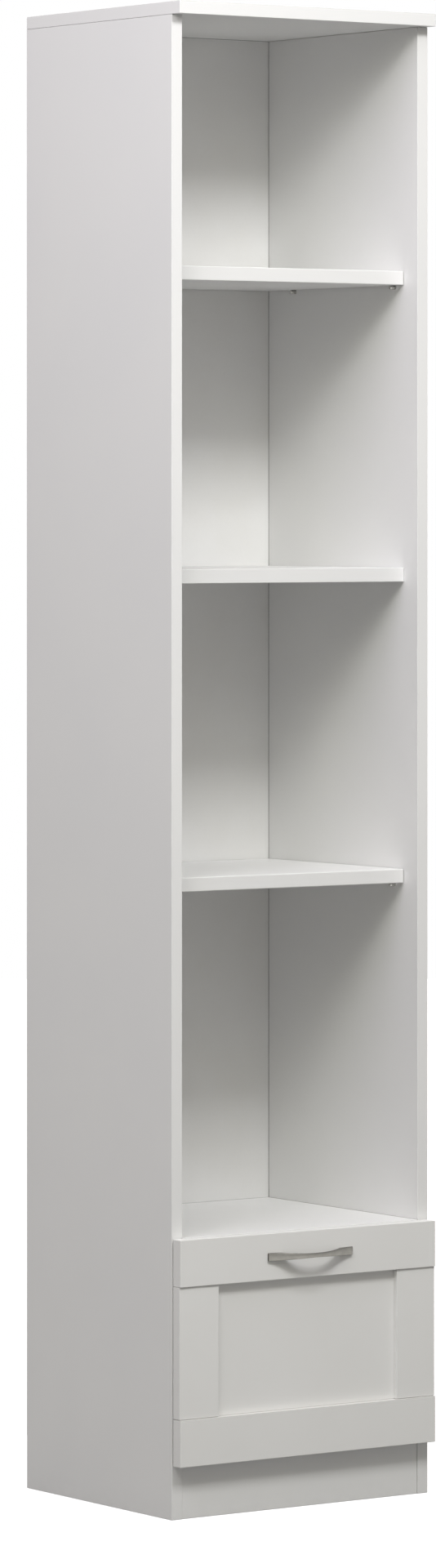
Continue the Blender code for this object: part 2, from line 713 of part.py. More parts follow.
def build_handle():
    """The bow handle: a waisted bar that rises from two solid feet, and its screws."""
    half_length = HANDLE_LENGTH / 2
    bm = bmesh.new()
    rings = []
    for x, arch in handle_stations():
        outer = HANDLE_FOOT_T + (HANDLE_REACH - HANDLE_FOOT_T) * bell(x, half_length, HANDLE_FULLNESS)
        inner = (HANDLE_REACH - HANDLE_WAIST_T) * arch
        waist = bell(x, half_length)
        half = (HANDLE_END_HEIGHT + (HANDLE_WAIST_HEIGHT - HANDLE_END_HEIGHT) * waist) / 2
        section = ((inner, half), (outer, half), (outer, -half), (inner, -half))
        rings.append([bm.verts.new((x, HANDLE_BACK - d, HANDLE_Z + z)) for d, z in section])
    for ring, following in zip(rings, rings[1:]):
        for corner in range(4):
            beside = (corner + 1) % 4
            bm.faces.new((ring[corner], ring[beside], following[beside], following[corner]))
    bm.faces.new(rings[0])
    bm.faces.new(reversed(rings[-1]))
    handle = add_object("handle", mesh_from(bm, "handle", True), SATIN_NICKEL, DRAWER)
    bevel = handle.modifiers.new("soft_edges", "BEVEL")
    bevel.width = HANDLE_EDGE_ROUND
    bevel.segments = 1
    bevel.limit_method = "ANGLE"
    bevel.angle_limit = SHARP_ANGLE
    length = RAIL_T + 2 * JOINT_GAP + HANDLE_SCREW_BITE
    profile = [
        (0.0, HANDLE_SCREW_HEAD),
        (HANDLE_SCREW_HEAD_R, HANDLE_SCREW_HEAD),
        (HANDLE_SCREW_HEAD_R, 0.0),
        (HANDLE_SCREW_R, 0.0),
        (HANDLE_SCREW_R, -length),
        (0.0, -length),
    ]
    screw = smooth(turned("handle_screw", profile), BRIGHT_ZINC)
    holes = bmesh.new()
    for hand, side in SIDES.items():
        x = side * HANDLE_SCREW_SPACING / 2
        start = (x, HANDLE_BACK + JOINT_GAP, HANDLE_Z)
        end = (x, HANDLE_BACK - HANDLE_SCREW_BITE - JOINT_GAP, HANDLE_Z)
        add_rod(holes, start, end, HANDLE_SCREW_R + JOINT_GAP)
        place = aim((x, FRONT_REAR + JOINT_GAP, HANDLE_Z), (0.0, 1.0, 0.0))
        placed("handle_screw_" + hand, screw, place, DRAWER)
    cut(handle, "handle_holes", holes)


for old in list(bpy.data.objects):
    bpy.data.objects.remove(old)

PARTS = make_collection("bookcase")
CUTTERS = make_collection("cutters")
SIDES = {"left": -1, "right": 1}
ROWS = ("front", "rear")

WHITE_BOARD = make_material("white_board", (0.80, 0.80, 0.80), 0.42)
WHITE_FRONT = make_material("white_front", (0.79, 0.79, 0.785), 0.42)
WHITE_BACK = make_material("white_back", (0.78, 0.78, 0.775), 0.50)
SATIN_NICKEL = make_material("satin_nickel", (0.21, 0.205, 0.195), 0.32, 1.0)
NICKEL = make_material("nickel", (0.66, 0.65, 0.63), 0.25, 1.0)
BRIGHT_ZINC = make_material("bright_zinc", (0.62, 0.63, 0.65), 0.30, 1.0)
CAST_ZINC = make_material("cast_zinc", (0.45, 0.45, 0.46), 0.45, 1.0)
GALVANISED = make_material("galvanised_steel", (0.58, 0.59, 0.61), 0.35, 1.0)

CASE = make_empty("case")
CASE.location = (0.0, CASE_FRONT_Y, 0.0)
DRAWER = make_empty("drawer", CASE)
MIDDLE_MEMBERS = {hand: make_empty("middle_member_" + hand, CASE) for hand in SIDES}
OUTER_CAGES = {hand: make_empty("outer_cage_" + hand, CASE) for hand in SIDES}
INNER_CAGES = {hand: make_empty("inner_cage_" + hand, CASE) for hand in SIDES}

for hand, side in SIDES.items():
    build_side(side, "side_panel_" + hand)
build_top()
build_back()
build_plinth()
for board_name, (board_low, board_high) in fixed_boards().items():
    build_fixed_board(board_name, board_low, board_high)
for shelf_name, shelf_top in loose_shelves().items():
    build_loose_shelf(shelf_name, shelf_top)
for hand, side in SIDES.items():
    build_runner(side, hand)
build_front()
build_box()
build_handle()
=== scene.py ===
# %% [markdown]
# # Dressing a tall white bookcase
#
# The carpentry is finished before this file starts. Every board, pin, screw and runner has been built
# elsewhere, and arrives as a frame in metres, with the floor at Z = 0 and the front towards -Y. This
# file gives each of those pieces the surface that a hand and an eye would find on the real one: white
# melamine with a glued edge, a foil-wrapped drawer front, satin nickel, galvanised runners.
# The frame never moves. Where its plain facets would show, a finer piece with the same corners takes its
# place and wears the finish.

# %% Load the frame
import json

import bmesh
import bpy
import numpy as np
from mathutils import Matrix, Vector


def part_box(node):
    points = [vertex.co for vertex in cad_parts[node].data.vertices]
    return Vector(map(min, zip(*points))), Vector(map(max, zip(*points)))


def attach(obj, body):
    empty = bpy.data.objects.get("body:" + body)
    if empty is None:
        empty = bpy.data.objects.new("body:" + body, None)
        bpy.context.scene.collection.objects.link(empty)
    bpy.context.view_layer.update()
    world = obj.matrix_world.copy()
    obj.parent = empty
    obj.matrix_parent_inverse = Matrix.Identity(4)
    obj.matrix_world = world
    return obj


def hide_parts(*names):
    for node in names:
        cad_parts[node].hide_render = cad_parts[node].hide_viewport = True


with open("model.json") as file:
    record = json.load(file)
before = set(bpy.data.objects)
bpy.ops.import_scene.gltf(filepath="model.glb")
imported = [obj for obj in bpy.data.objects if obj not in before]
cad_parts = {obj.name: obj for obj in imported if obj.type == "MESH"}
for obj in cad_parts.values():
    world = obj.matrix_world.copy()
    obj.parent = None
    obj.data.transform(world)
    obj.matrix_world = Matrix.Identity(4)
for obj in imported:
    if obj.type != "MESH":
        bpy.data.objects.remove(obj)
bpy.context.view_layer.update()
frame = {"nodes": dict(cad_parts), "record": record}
print("nodes in the frame:", len(frame["nodes"]))

# %% [markdown]
# ## Reading sizes off the frame
#
# Nothing is measured twice. A piece asks the frame for the lowest and highest corner of the node that it
# dresses, so if the carpentry changes, the finish follows.


# %% Corners of a node
def corners(node_name):
    """The lowest and the highest corner of a node, as two arrays of three numbers."""
    low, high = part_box(node_name)
    return np.array(low), np.array(high)


def body_of(node_name):
    """The body that a node belongs to."""
    groups = frame["record"]["behaviour"]["bodies"]
    return next(body for body, members in groups.items() if node_name in members)


def slot_of(node_name):
    """The record's material slot of a node."""
    parts = frame["record"]["subparts"]
    return next(part["material_slot"] for part in parts if part["node"] == node_name)


case_low, case_high = corners("side_panel_left")
print("side panel, mm:", np.round((case_high - case_low) * 1000, 1))

# %% [markdown]
# ## The camera
#
# The verticals of the bookcase stay parallel in the picture, so the camera is level and its frame is slid
# down instead of tilted, as an architect's lens does. Its height is about that of a seated person's eyes,
# it stands eight metres away with a long lens, and it looks in 35 degrees from the left.

# %% Set up the camera
CAMERA_PLACE = (-4.8205, -6.83525, 1.2743)
CAMERA_TURN = np.radians(-35.05)
CAMERA_LENS = 149.24
CAMERA_SLIDE = -0.1802

camera_data = bpy.data.cameras.new("camera")
camera_data.lens = CAMERA_LENS
camera_data.sensor_width = 36.0
camera_data.shift_y = CAMERA_SLIDE
camera_data.clip_end = 200.0
camera_data.dof.use_dof = False
camera = bpy.data.objects.new("camera", camera_data)
camera.location = CAMERA_PLACE
camera.rotation_euler = (np.pi / 2, 0.0, CAMERA_TURN)
bpy.context.scene.collection.objects.link(camera)
bpy.context.scene.camera = camera
bpy.context.scene.view_settings.view_transform = "Standard"
print("camera distance, m:", round(float(np.hypot(*CAMERA_PLACE[:2])), 2))

# %% [markdown]
# ## A small language for finishes
#
# Every finish below is a network of nodes. Written out socket by socket, such a network is long and hard to
# read, so one helper makes a node, links what it is given as a socket and sets what it is given as a value.


# %% Nodes and their inputs
def feed(tree, made, inputs):
    """Fills a node's inputs: a socket is linked to its input, and any other value is set on it."""
    for key, value in inputs.items():
        if isinstance(value, bpy.types.NodeSocket):
            tree.links.new(value, made.inputs[key])
        else:
            made.inputs[key].default_value = value


def node(tree, kind, inputs, **settings):
    """One node, with its settings and its inputs."""
    made = tree.nodes.new("ShaderNode" + kind)
    for key, value in settings.items():
        setattr(made, key, value)
    feed(tree, made, inputs)
    return made


def new_finish(name):
    """An empty finish: its material, its node tree, its main shader and the piece's own coordinates."""
    material = bpy.data.materials.new(name)
    material.use_nodes = True
    tree = material.node_tree
    coordinates = node(tree, "TexCoord", {}).outputs["Object"]
    return material, tree, tree.nodes["Principled BSDF"], coordinates


print("a socket is linked, any other value is set")

# %% [markdown]
# On top of that come the steps that the finishes share. Some are arithmetic on a place or a height, such as
# how far a point lies from a wall.


# %% Arithmetic on places
def calculate(tree, operation, *values):
    """One step of arithmetic on one, two or three values."""
    return node(tree, "Math", dict(enumerate(values)), operation=operation).outputs[0]


def times(tree, first, second):
    """The product of two values."""
    return calculate(tree, "MULTIPLY", first, second)


def within(tree, value, fixed, margin):
    """1 where a value lies within a margin of a fixed one."""
    return calculate(tree, "COMPARE", value, fixed, margin)


def distance_between(tree, value, fixed):
    """How far a value is from a fixed one, whichever side it lies on."""
    return calculate(tree, "ABSOLUTE", calculate(tree, "SUBTRACT", value, fixed))


def spread(tree, value, start, end, low, high):
    """Maps start..end to low..high and holds what lies outside."""
    inputs = {"Value": value, "From Min": start, "From Max": end, "To Min": low, "To Max": high}
    return node(tree, "MapRange", inputs).outputs["Result"]


def split(tree, vector):
    """The three numbers of a vector."""
    return node(tree, "SeparateXYZ", {0: vector}).outputs


def stretched(tree, place, factors):
    """Coordinates stretched by three factors: a factor below 1 draws a pattern out along that axis."""
    return node(tree, "Mapping", {"Vector": place, "Scale": factors}).outputs[0]


print("arithmetic is ready: products, margins, distances, spreads")

# %% [markdown]
# The others make patterns: noise with a number of patches per metre, two colours that change into each other
# in patches, and relief from a height. The noise is cut off at a span round its middle, because its values
# hardly ever reach 0 or 1.


# %% Patterns, colours and relief
def noise(tree, place, scale, detail=2.0, roughness=0.5):
    """Cloudy noise with a number of patches per metre."""
    inputs = {"Vector": place, "Scale": scale, "Detail": detail, "Roughness": roughness}
    return node(tree, "TexNoise", inputs).outputs["Fac"]


def wander(tree, place, scale, low, high):
    """A value that wanders between two limits, with a number of patches per metre."""
    return spread(tree, noise(tree, place, scale, 3.0), 0.3, 0.7, low, high)


def blend(tree, share, first, second):
    """A colour between two colours, by a share from 0 to 1."""
    return node(tree, "Mix", {0: share, 6: first, 7: second}, data_type="RGBA").outputs[2]


def patches(tree, clouds, span, first, second):
    """Two colours in soft patches, which change over a span of the noise."""
    return blend(tree, spread(tree, clouds, *span, 0.0, 1.0), first, second)


def relief(tree, height, strength, depth, **under):
    """A surface normal from a height map; depth is the height of its highest grain in metres."""
    return node(tree, "Bump", {"Height": height, "Strength": strength, "Distance": depth, **under}).outputs[0]


def grey(level, warmth=0.0):
    """A grey of one level; warmth above 0 takes away blue, below 0 adds it."""
    return (level, level * (1.0 - 0.25 * warmth), level * (1.0 - warmth), 1.0)


print("a grey of one half, slightly warm:", np.round(grey(0.5, 0.1), 3))

# %% [markdown]
# ## White melamine
#
# The carcass is chipboard pressed between two sheets of resin-soaked paper. The press plate leaves a fine
# pearl in the resin, too small to see from a step away but enough to blur every reflection, so the finish
# gets a tiny relief, a satin roughness that wanders a little, and a white that isn't quite even.
#
# The front edge is a plastic band, glued on and trimmed. Where its side meets the melamine there is a
# hairline, and its rounded arris collects the handling of years: slightly darker, slightly warmer. Both
# are read from a small map that each board carries: u is the distance from the banded edge in metres, and
# v is 1 on a rounded arris and 0 on a flat face.

# %% Whites, and the map on a board
WHITE = grey(0.822, 0.008)
WHITE_COOL = grey(0.807, 0.000)
HANDLED = grey(0.700, 0.03)


def board_map(tree):
    """The two values of a board's own map: distance from its banded edge, and its arris."""
    parts = split(tree, node(tree, "UVMap", {}, uv_map="board").outputs[0])
    return parts[0], parts[1]


print("white and cool white, as levels of 1:", WHITE[0], WHITE_COOL[0])

# %% [markdown]
# Dust gathers faintly just above the floor and on the top panel, most of it at its arrises. Where the board
# over the drawer meets the walls, a fine dark line is painted shade. Both could be painted on each board by
# hand. Here they are worked out from the height and the distance to a wall, so one finish serves all boards.

# %% Dust and painted shade on the boards
# Width of the narrow bands: dust on the top panel, and the painted shade lines at the cover board and the
# ledge.
NARROW_BAND = 0.0008
SPLASH = 0.030
THIN_DUST = 0.12
ARRIS_DUST = 6.0
# A darker grey, used for real dust and for painted shade.
DUST_AND_SHADE = grey(0.560, 0.05)


def dusted_and_shaded(tree, colour, coordinates, arris):
    """A board's colour with dust near the floor and on the top, and a line of painted shade where the cover
    board meets the walls.
    """
    place = split(tree, coordinates)
    across, height = calculate(tree, "ABSOLUTE", place[0]), place[2]
    near_floor = spread(tree, height, 0.0, SPLASH, THIN_DUST, 0.0)
    clouds = spread(tree, noise(tree, coordinates, 60.0, 5.0), 0.40, 0.80, 0.0, 1.0)
    colour = blend(tree, times(tree, near_floor, clouds), colour, DUST_AND_SHADE)

    # Painted shade: a fine dark line where the cover board meets the walls.
    at_wall = within(tree, across, corners("side_panel_right")[0][0], NARROW_BAND)
    at_cover = within(tree, height, corners("drawer_cover_board")[1][2], NARROW_BAND / 2)
    colour = blend(tree, times(tree, at_wall, at_cover), colour, DUST_AND_SHADE)

    roof = corners("top_panel")[1][2]
    on_top = spread(tree, height, roof - NARROW_BAND, roof, 0.0, THIN_DUST)
    more_at_arris = spread(tree, arris, 0.2, 1.0, 1.0, ARRIS_DUST)
    return blend(tree, times(tree, on_top, more_at_arris), colour, DUST_AND_SHADE)


print("dust above the floor, mm:", 1000 * SPLASH)

# %% [markdown]
# The finish puts it together from below: the white, the hairline of glue, the handling, the dust and the
# painted shade, and the pearl as relief.

# %% The finish of the boards
BAND_THICKNESS = 0.0008
HAIRLINE = 0.00025
PEARL_HEIGHT = 0.00006


def melamine(name):
    """Pressed white melamine with a banded edge, handled arrises, a little dust, and painted shade where the
    cover board meets the walls.
    """
    material, tree, shader, coordinates = new_finish(name)
    from_edge, arris = board_map(tree)
    colour = patches(tree, noise(tree, coordinates, 5.0, 4.0), (0.35, 0.65), WHITE, WHITE_COOL)

    glue = within(tree, from_edge, BAND_THICKNESS, HAIRLINE)
    colour = blend(tree, times(tree, glue, 0.35), colour, HANDLED)

    handling = spread(tree, noise(tree, coordinates, 30.0, 5.0), 0.45, 0.75, 0.0, 0.5)
    colour = blend(tree, times(tree, arris, handling), colour, HANDLED)
    colour = dusted_and_shaded(tree, colour, coordinates, arris)

    pearl = noise(tree, coordinates, 1400.0, 1.0)
    feed(tree, shader, {
        "Base Color": colour,
        "Roughness": wander(tree, coordinates, 14.0, 0.40, 0.48),
        "Normal": relief(tree, pearl, 0.18, PEARL_HEIGHT),
        "Specular IOR Level": 0.40,
    })
    return material


board_finish = melamine("white_melamine")
print("melamine nodes:", len(board_finish.node_tree.nodes))

# %% [markdown]
# ## Foil on the drawer front
#
# The framed front is fibreboard wrapped in a thicker white foil. It has no banded edge; the foil is drawn
# over a small radius instead. It is a shade warmer than the melamine, and in raking light it shows the
# faint long ripples of the roller that laid it down. The upper side of the lower rail is a narrow ledge
# inside the recess, and its colour is darkened there as painted shade.

# %% The finish of the drawer front
FOIL = grey(0.822, 0.014)
FOIL_SECOND = grey(0.808, 0.018)
# How strongly the ledge of the lower rail is darkened as painted shade.
LEDGE_SHADE = 0.6
ROLLED = (0.15, 1.0, 1.0)
RIPPLE_HEIGHT = 0.0002
GRAIN_HEIGHT = 0.00006


def wrapped_foil(name):
    """White foil over fibreboard: soft ripples, a fine grain, handled arrises, painted shade on the lower
    ledge.
    """
    material, tree, shader, coordinates = new_finish(name)
    colour = patches(tree, noise(tree, coordinates, 7.0, 4.0), (0.35, 0.65), FOIL, FOIL_SECOND)

    handling = spread(tree, noise(tree, coordinates, 45.0, 5.0), 0.40, 0.75, 0.05, 0.55)
    colour = blend(tree, times(tree, board_map(tree)[1], handling), colour, HANDLED)

    # Painted shade on the ledge of the lower rail, inside the recess.
    on_ledge = within(tree, split(tree, coordinates)[2], corners("drawer_rail_bottom")[1][2], NARROW_BAND)
    colour = blend(tree, times(tree, on_ledge, LEDGE_SHADE), colour, DUST_AND_SHADE)

    rolled = noise(tree, stretched(tree, coordinates, ROLLED), 90.0, 2.0)
    ripples = relief(tree, rolled, 0.10, RIPPLE_HEIGHT)
    grain = noise(tree, coordinates, 1100.0, 1.0)
    feed(tree, shader, {
        "Base Color": colour,
        "Roughness": wander(tree, coordinates, 20.0, 0.40, 0.50),
        "Normal": relief(tree, grain, 0.20, GRAIN_HEIGHT, Normal=ripples),
        "Specular IOR Level": 0.40,
    })
    return material


front_finish = wrapped_foil("white_foil")
print("foil nodes:", len(front_finish.node_tree.nodes))

# %% [markdown]
# ## Painted hardboard
#
# The back of the case and the bottom of the drawer are three-millimetre hardboard with a coat of white
# paint. The paint is thin, so the fibres under it lift it into short soft hairs, and it dries duller than
# the melamine. Where the back meets the walls and the top, a dark line of painted shade lies along the seam,
# found as the smallest distance from the inner wall or from the underside of the top. A fainter one
# runs along the board over the drawer.

# %% The finish of the thin boards
PAINT = grey(0.805, 0.010)
PAINT_THIN = grey(0.780, 0.024)
# A near-black used as painted shade along the back's seams.
SEAM_SHADE = grey(0.100, 0.15)
SEAM_SHADE_WIDTHS = (0.00030, 0.00055)
UPRIGHT = (1.0, 1.0, 0.25)
FACE_DEPTH = 0.001
FIBRE_HEIGHT = 0.00008


def painted_hardboard(name):
    """A thin coat of white paint over pressed fibres, with lines of painted shade along the case's inner
    edges.
    """
    material, tree, shader, coordinates = new_finish(name)
    x, y, height = split(tree, coordinates)
    fibres = noise(tree, stretched(tree, coordinates, UPRIGHT), 700.0, 3.0, 0.65)
    colour = patches(tree, noise(tree, coordinates, 9.0, 5.0), (0.40, 0.68), PAINT, PAINT_THIN)
    colour = blend(tree, spread(tree, fibres, 0.55, 0.80, 0.0, 0.25), colour, HANDLED)

    on_face = calculate(tree, "LESS_THAN", y, corners("back_panel")[0][1] + FACE_DEPTH)
    across = calculate(tree, "ABSOLUTE", x)
    to_wall = distance_between(tree, across, corners("side_panel_right")[0][0])
    to_ceiling = distance_between(tree, height, corners("top_panel")[0][2])
    to_cover = distance_between(tree, height, corners("drawer_cover_board")[1][2])
    nearest = calculate(tree, "MINIMUM", to_wall, to_ceiling)
    # Painted shade: dark lines where the back meets the walls and the top, a fainter one along the cover
    # board.
    for distance, darkest in ((nearest, 0.75), (to_cover, 0.4)):
        seam_shade_share = times(tree, on_face, spread(tree, distance, *SEAM_SHADE_WIDTHS, darkest, 0.0))
        colour = blend(tree, seam_shade_share, colour, SEAM_SHADE)
    feed(tree, shader, {
        "Base Color": colour,
        "Roughness": wander(tree, coordinates, 25.0, 0.50, 0.62),
        "Normal": relief(tree, fibres, 0.25, FIBRE_HEIGHT),
        "Specular IOR Level": 0.35,
    })
    return material


hardboard_finish = painted_hardboard("painted_hardboard")
print("hardboard nodes:", len(hardboard_finish.node_tree.nodes))

# %% [markdown]
# ## Five metals
#
# Each metal here is a colour, a gloss and a mark left by its making: satin nickel is brushed along the
# handle, nickel and zinc plate are smooth with a few specks, die-cast zinc keeps the mottle of its mould,
# and galvanised strip has the drawn lines of the rolling mill. One function takes the three and stretches
# its noise along the direction of the marks. The satin nickel is darker than new metal: what it mirrors is
# a white room, and only its own tone keeps it from looking white as well.

# %% The finishes of the metals
ALONG_X = (0.04, 1.0, 1.0)
ALONG_Y = (1.0, 0.03, 1.0)
EVEN = (1.0, 1.0, 1.0)
METALS = {
    "satin_nickel": (grey(0.200, 0.12), grey(0.175, 0.12), (0.26, 0.38), ALONG_X, 900.0, 0.00002),
    "nickel_plate": (grey(0.62, 0.05), grey(0.55, 0.06), (0.20, 0.32), EVEN, 700.0, 0.00001),
    "bright_zinc": (grey(0.60, -0.02), grey(0.50, 0.02), (0.26, 0.42), EVEN, 500.0, 0.00002),
    "cast_zinc": (grey(0.40, 0.02), grey(0.32, 0.04), (0.40, 0.58), EVEN, 420.0, 0.00005),
    "galvanised_steel": (grey(0.55, 0.00), grey(0.47, 0.03), (0.28, 0.44), ALONG_Y, 800.0, 0.00002),
}


def metal(name, colour, second_colour, gloss, marks, marks_scale, depth):
    """A metal in two close tones, whose marks are noise stretched by three factors along X, Y and Z."""
    material, tree, shader, coordinates = new_finish(name)
    clouds = noise(tree, coordinates, 120.0, 3.0)
    lines = noise(tree, stretched(tree, coordinates, marks), marks_scale, 3.0, 0.6)
    feed(tree, shader, {
        "Base Color": patches(tree, clouds, (0.35, 0.70), colour, second_colour),
        "Roughness": spread(tree, lines, 0.25, 0.75, *gloss),
        "Normal": relief(tree, lines, 0.3, depth),
        "Metallic": 1.0,
    })
    return material


finishes = {slot: metal(slot, *settings) for slot, settings in METALS.items()}
finishes["white_board"] = board_finish
finishes["white_front"] = front_finish
finishes["white_hardboard"] = hardboard_finish
print("finishes:", ", ".join(finishes))

# %% [markdown]
# ## Skins from formulas
#
# New pieces are surfaces of two parameters: rings of points that follow each other along the piece. One
# function closes such a grid into a body. Where rings shrink to a corner or a pole their points fall
# together, so they are merged, and the body's signed volume tells whether its faces look outwards.

# %% Close a grid of points into a body
MERGE = 1e-7


def skin(name, grid):
    """A closed mesh from rings of points.

    Face (i, j) joins the points (i, j), (i, j+1), (i+1, j+1) and (i+1, j), where the column after the
    last is the first one again; the first and the last ring are closed by a lid.
    """
    rows, columns = grid.shape[:2]
    index = np.arange(rows * columns).reshape(rows, columns)
    beside = np.roll(index, -1, axis=1)
    quads = np.stack([index[:-1], beside[:-1], beside[1:], index[1:]], axis=-1).reshape(-1, 4)
    faces = quads.tolist() + [index[0][::-1].tolist(), index[-1].tolist()]
    mesh = bpy.data.meshes.new(name)
    mesh.from_pydata(grid.reshape(-1, 3), [], faces)
    body = bmesh.new()
    body.from_mesh(mesh)
    bmesh.ops.remove_doubles(body, verts=body.verts, dist=MERGE)
    if body.calc_volume(signed=True) < 0.0:
        bmesh.ops.reverse_faces(body, faces=body.faces)
    body.to_mesh(mesh)
    body.free()
    return mesh


print("merging points closer than, nanometres:", round(MERGE * 1e9))

# %% [markdown]
# ## A piece takes its place
#
# A mesh becomes a piece once it has smooth shading, a finish, and a body to ride on. Most pieces stand in for
# a node of the frame: the node is hidden then, and the piece takes over its body and its slot.

# %% Hang a mesh on its body
SHARP = np.radians(40.0)


def shade(mesh):
    """Smooth shading, broken at every fold sharper than the limit."""
    mesh.shade_smooth()
    mesh.set_sharp_from_angle(angle=SHARP)


def piece(name, mesh, body, slot, replaced=()):
    """An object at the origin that rides on a body, wears a slot's finish and stands for its nodes."""
    shade(mesh)
    mesh.materials.append(finishes[slot])
    obj = bpy.data.objects.new(name, mesh)
    bpy.context.scene.collection.objects.link(obj)
    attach(obj, body)
    if replaced:
        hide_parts(*replaced)
    return obj


def stand_in(node_name, mesh):
    """A finished piece in the place of a node, on the same body and with the same slot."""
    return piece(node_name + "_finished", mesh, body_of(node_name), slot_of(node_name), [node_name])


print("shading breaks at folds of", round(float(np.degrees(SHARP))), "degrees")

# %% [markdown]
# ## A board with eased arrises
#
# A real board has no sharp edges: the band is trimmed and rubbed over to half a millimetre or so, and that
# is what draws the thin bright line along each shelf. A bevel modifier could do this on a box. A formula
# does it with fewer surprises: take a box that is smaller by the rounding on all sides and roll a ball over
# it. Longitude runs round the board, latitude from one end to the other, and each corner of the small box
# holds its own eighth of the ball. Beside every rounding runs a narrow flat strip, which keeps the smooth
# shading of the arris from smearing over the wide face.

# %% Points round a rectangle with round corners
ARC_STEPS = 3


def rounded_ring(half_a, half_b, rounding, strip):
    """The core of a rectangle with round corners, anticlockwise, with its outward directions and signs.

    The outline is core + rounding (cos a, sin a). In corner k the angle a runs from 90k to 90k + 90 degrees
    and the core is s (half - rounding), where s holds the corner's signs. The first and last point of each
    corner are slid a strip's width on, into the flat side.
    """
    quarter = np.linspace(0.0, np.pi / 2, ARC_STEPS + 1)
    angle = np.concatenate([[0.0], quarter, [np.pi / 2]]) + np.arange(4)[:, None] * np.pi / 2
    slide = np.zeros(ARC_STEPS + 3)
    slide[[0, -1]] = (-strip, strip)
    slide = np.broadcast_to(slide, angle.shape)
    signs = np.sign(np.stack([np.cos(angle.mean(axis=1)), np.sin(angle.mean(axis=1))], axis=-1))
    outward = np.stack([np.cos(angle), np.sin(angle)], axis=-1)
    along = np.stack([-np.sin(angle), np.cos(angle)], axis=-1)
    core = signs[:, None, :] * (np.array([half_a, half_b]) - rounding)
    ring = core + along * slide[..., None]
    return ring.reshape(-1, 2), outward.reshape(-1, 2), np.repeat(signs, ARC_STEPS + 3, axis=0)


print("points round one ring:", len(rounded_ring(0.1, 0.1, 0.001, 0.0004)[0]))

# %% [markdown]
# The board is a pile of such rings. At both ends they draw in, by the cosine of the latitude, and between the
# ends they are all alike, so one long face is enough there.

# %% Roll a ball over a box
STRIP = 0.0004


def board_skin(name, low, high, rounding):
    """A board between two corners with its arrises rounded.

    Point(longitude, latitude) = small box's corner + rounding (cos lat cos lon, cos lat sin lon, sin lat).
    The longest side is the one from pole to pole. A strip goes round both lids as well.
    """
    low, high = np.asarray(low), np.asarray(high)
    half = (high - low) / 2
    strip = min(STRIP, half.min() / 4)
    long_axis = int(np.argmax(half))
    a_axis, b_axis = (long_axis + 1) % 3, (long_axis + 2) % 3
    ring, outward, signs = rounded_ring(half[a_axis], half[b_axis], rounding, strip)
    quarter = np.linspace(-np.pi / 2, 0.0, ARC_STEPS + 1)
    latitude = np.concatenate([[-np.pi / 2], quarter, [0.0]])
    inset = np.zeros_like(latitude)
    inset[0] = strip
    slide = np.zeros_like(latitude)
    slide[-1] = strip
    height = -(half[long_axis] - rounding) + rounding * np.sin(latitude) + slide
    latitude = np.concatenate([latitude, -latitude[::-1]])
    height = np.concatenate([height, -height[::-1]])
    inset = np.concatenate([inset, inset[::-1]])
    flat = (
        ring[None]
        - signs[None] * inset[:, None, None]
        + rounding * outward[None] * np.cos(latitude)[:, None, None]
    )
    grid = np.zeros((len(latitude), len(ring), 3))
    grid[..., a_axis] = flat[..., 0]
    grid[..., b_axis] = flat[..., 1]
    grid[..., long_axis] = height[:, None]
    return skin(name, grid + (low + high) / 2)


test_board = board_skin("test", (0, 0, 0), (0.1, 0.2, 0.3), 0.001)
print("faces on one board:", len(test_board.polygons))
bpy.data.meshes.remove(test_board)

# %% [markdown]
# ## The map on a board
#
# The finishes ask two things of every point on a board: how far it is from the banded edge, and whether it
# lies on an arris. Both follow from the point's place between the board's corners. They are stored as a UV
# map, which a finish can read wherever the board is.

# %% Write the map of a board
ARRIS_MARGIN = 1.05


def write_board_map(mesh, low, high, rounding, band):
    """The map that the finishes read: u = distance from the banded face, v = 1 on a rounded arris.

    band is an axis and a side, such as (1, 0) for the face at the lowest Y; without one, u is a metre.
    A point is on an arris where it lies within the rounding of two faces at once.
    """
    points = np.empty(len(mesh.vertices) * 3, np.float32)
    mesh.vertices.foreach_get("co", points)
    points = points.reshape(-1, 3)
    depth = np.minimum(points - low, high - points)
    arris = (np.sum(depth < rounding * ARRIS_MARGIN, axis=1) >= 2).astype(np.float32)
    away = np.ones(len(points), np.float32)
    if band is not None:
        axis, side = band
        away = np.abs(points[:, axis] - (low, high)[side][axis])
    corner_point = np.empty(len(mesh.loops), np.int32)
    mesh.loops.foreach_get("vertex_index", corner_point)
    values = np.stack([away, arris], axis=-1)[corner_point]
    uv = mesh.uv_layers.new(name="board")
    uv.data.foreach_set("uv", values.astype(np.float32).ravel())


print("a point counts as on an arris up to", ARRIS_MARGIN, "times the rounding")

# %% [markdown]
# ## Turned pieces
#
# Pins, screws and cams are turned: a profile of (radius, height) points swept round an axis. A screw's
# cross recess is pressed into the same grid, by lowering each point of the head that falls inside one of
# two crossed bars.


# %% Sweep a profile round an axis
def axes_along(direction):
    """Three unit vectors at right angles, the last one along a direction."""
    third = np.asarray(direction, float) / np.linalg.norm(direction)
    helper = np.eye(3)[int(np.argmin(np.abs(third)))]
    first = np.cross(helper, third)
    first /= np.linalg.norm(first)
    return first, np.cross(third, first), third


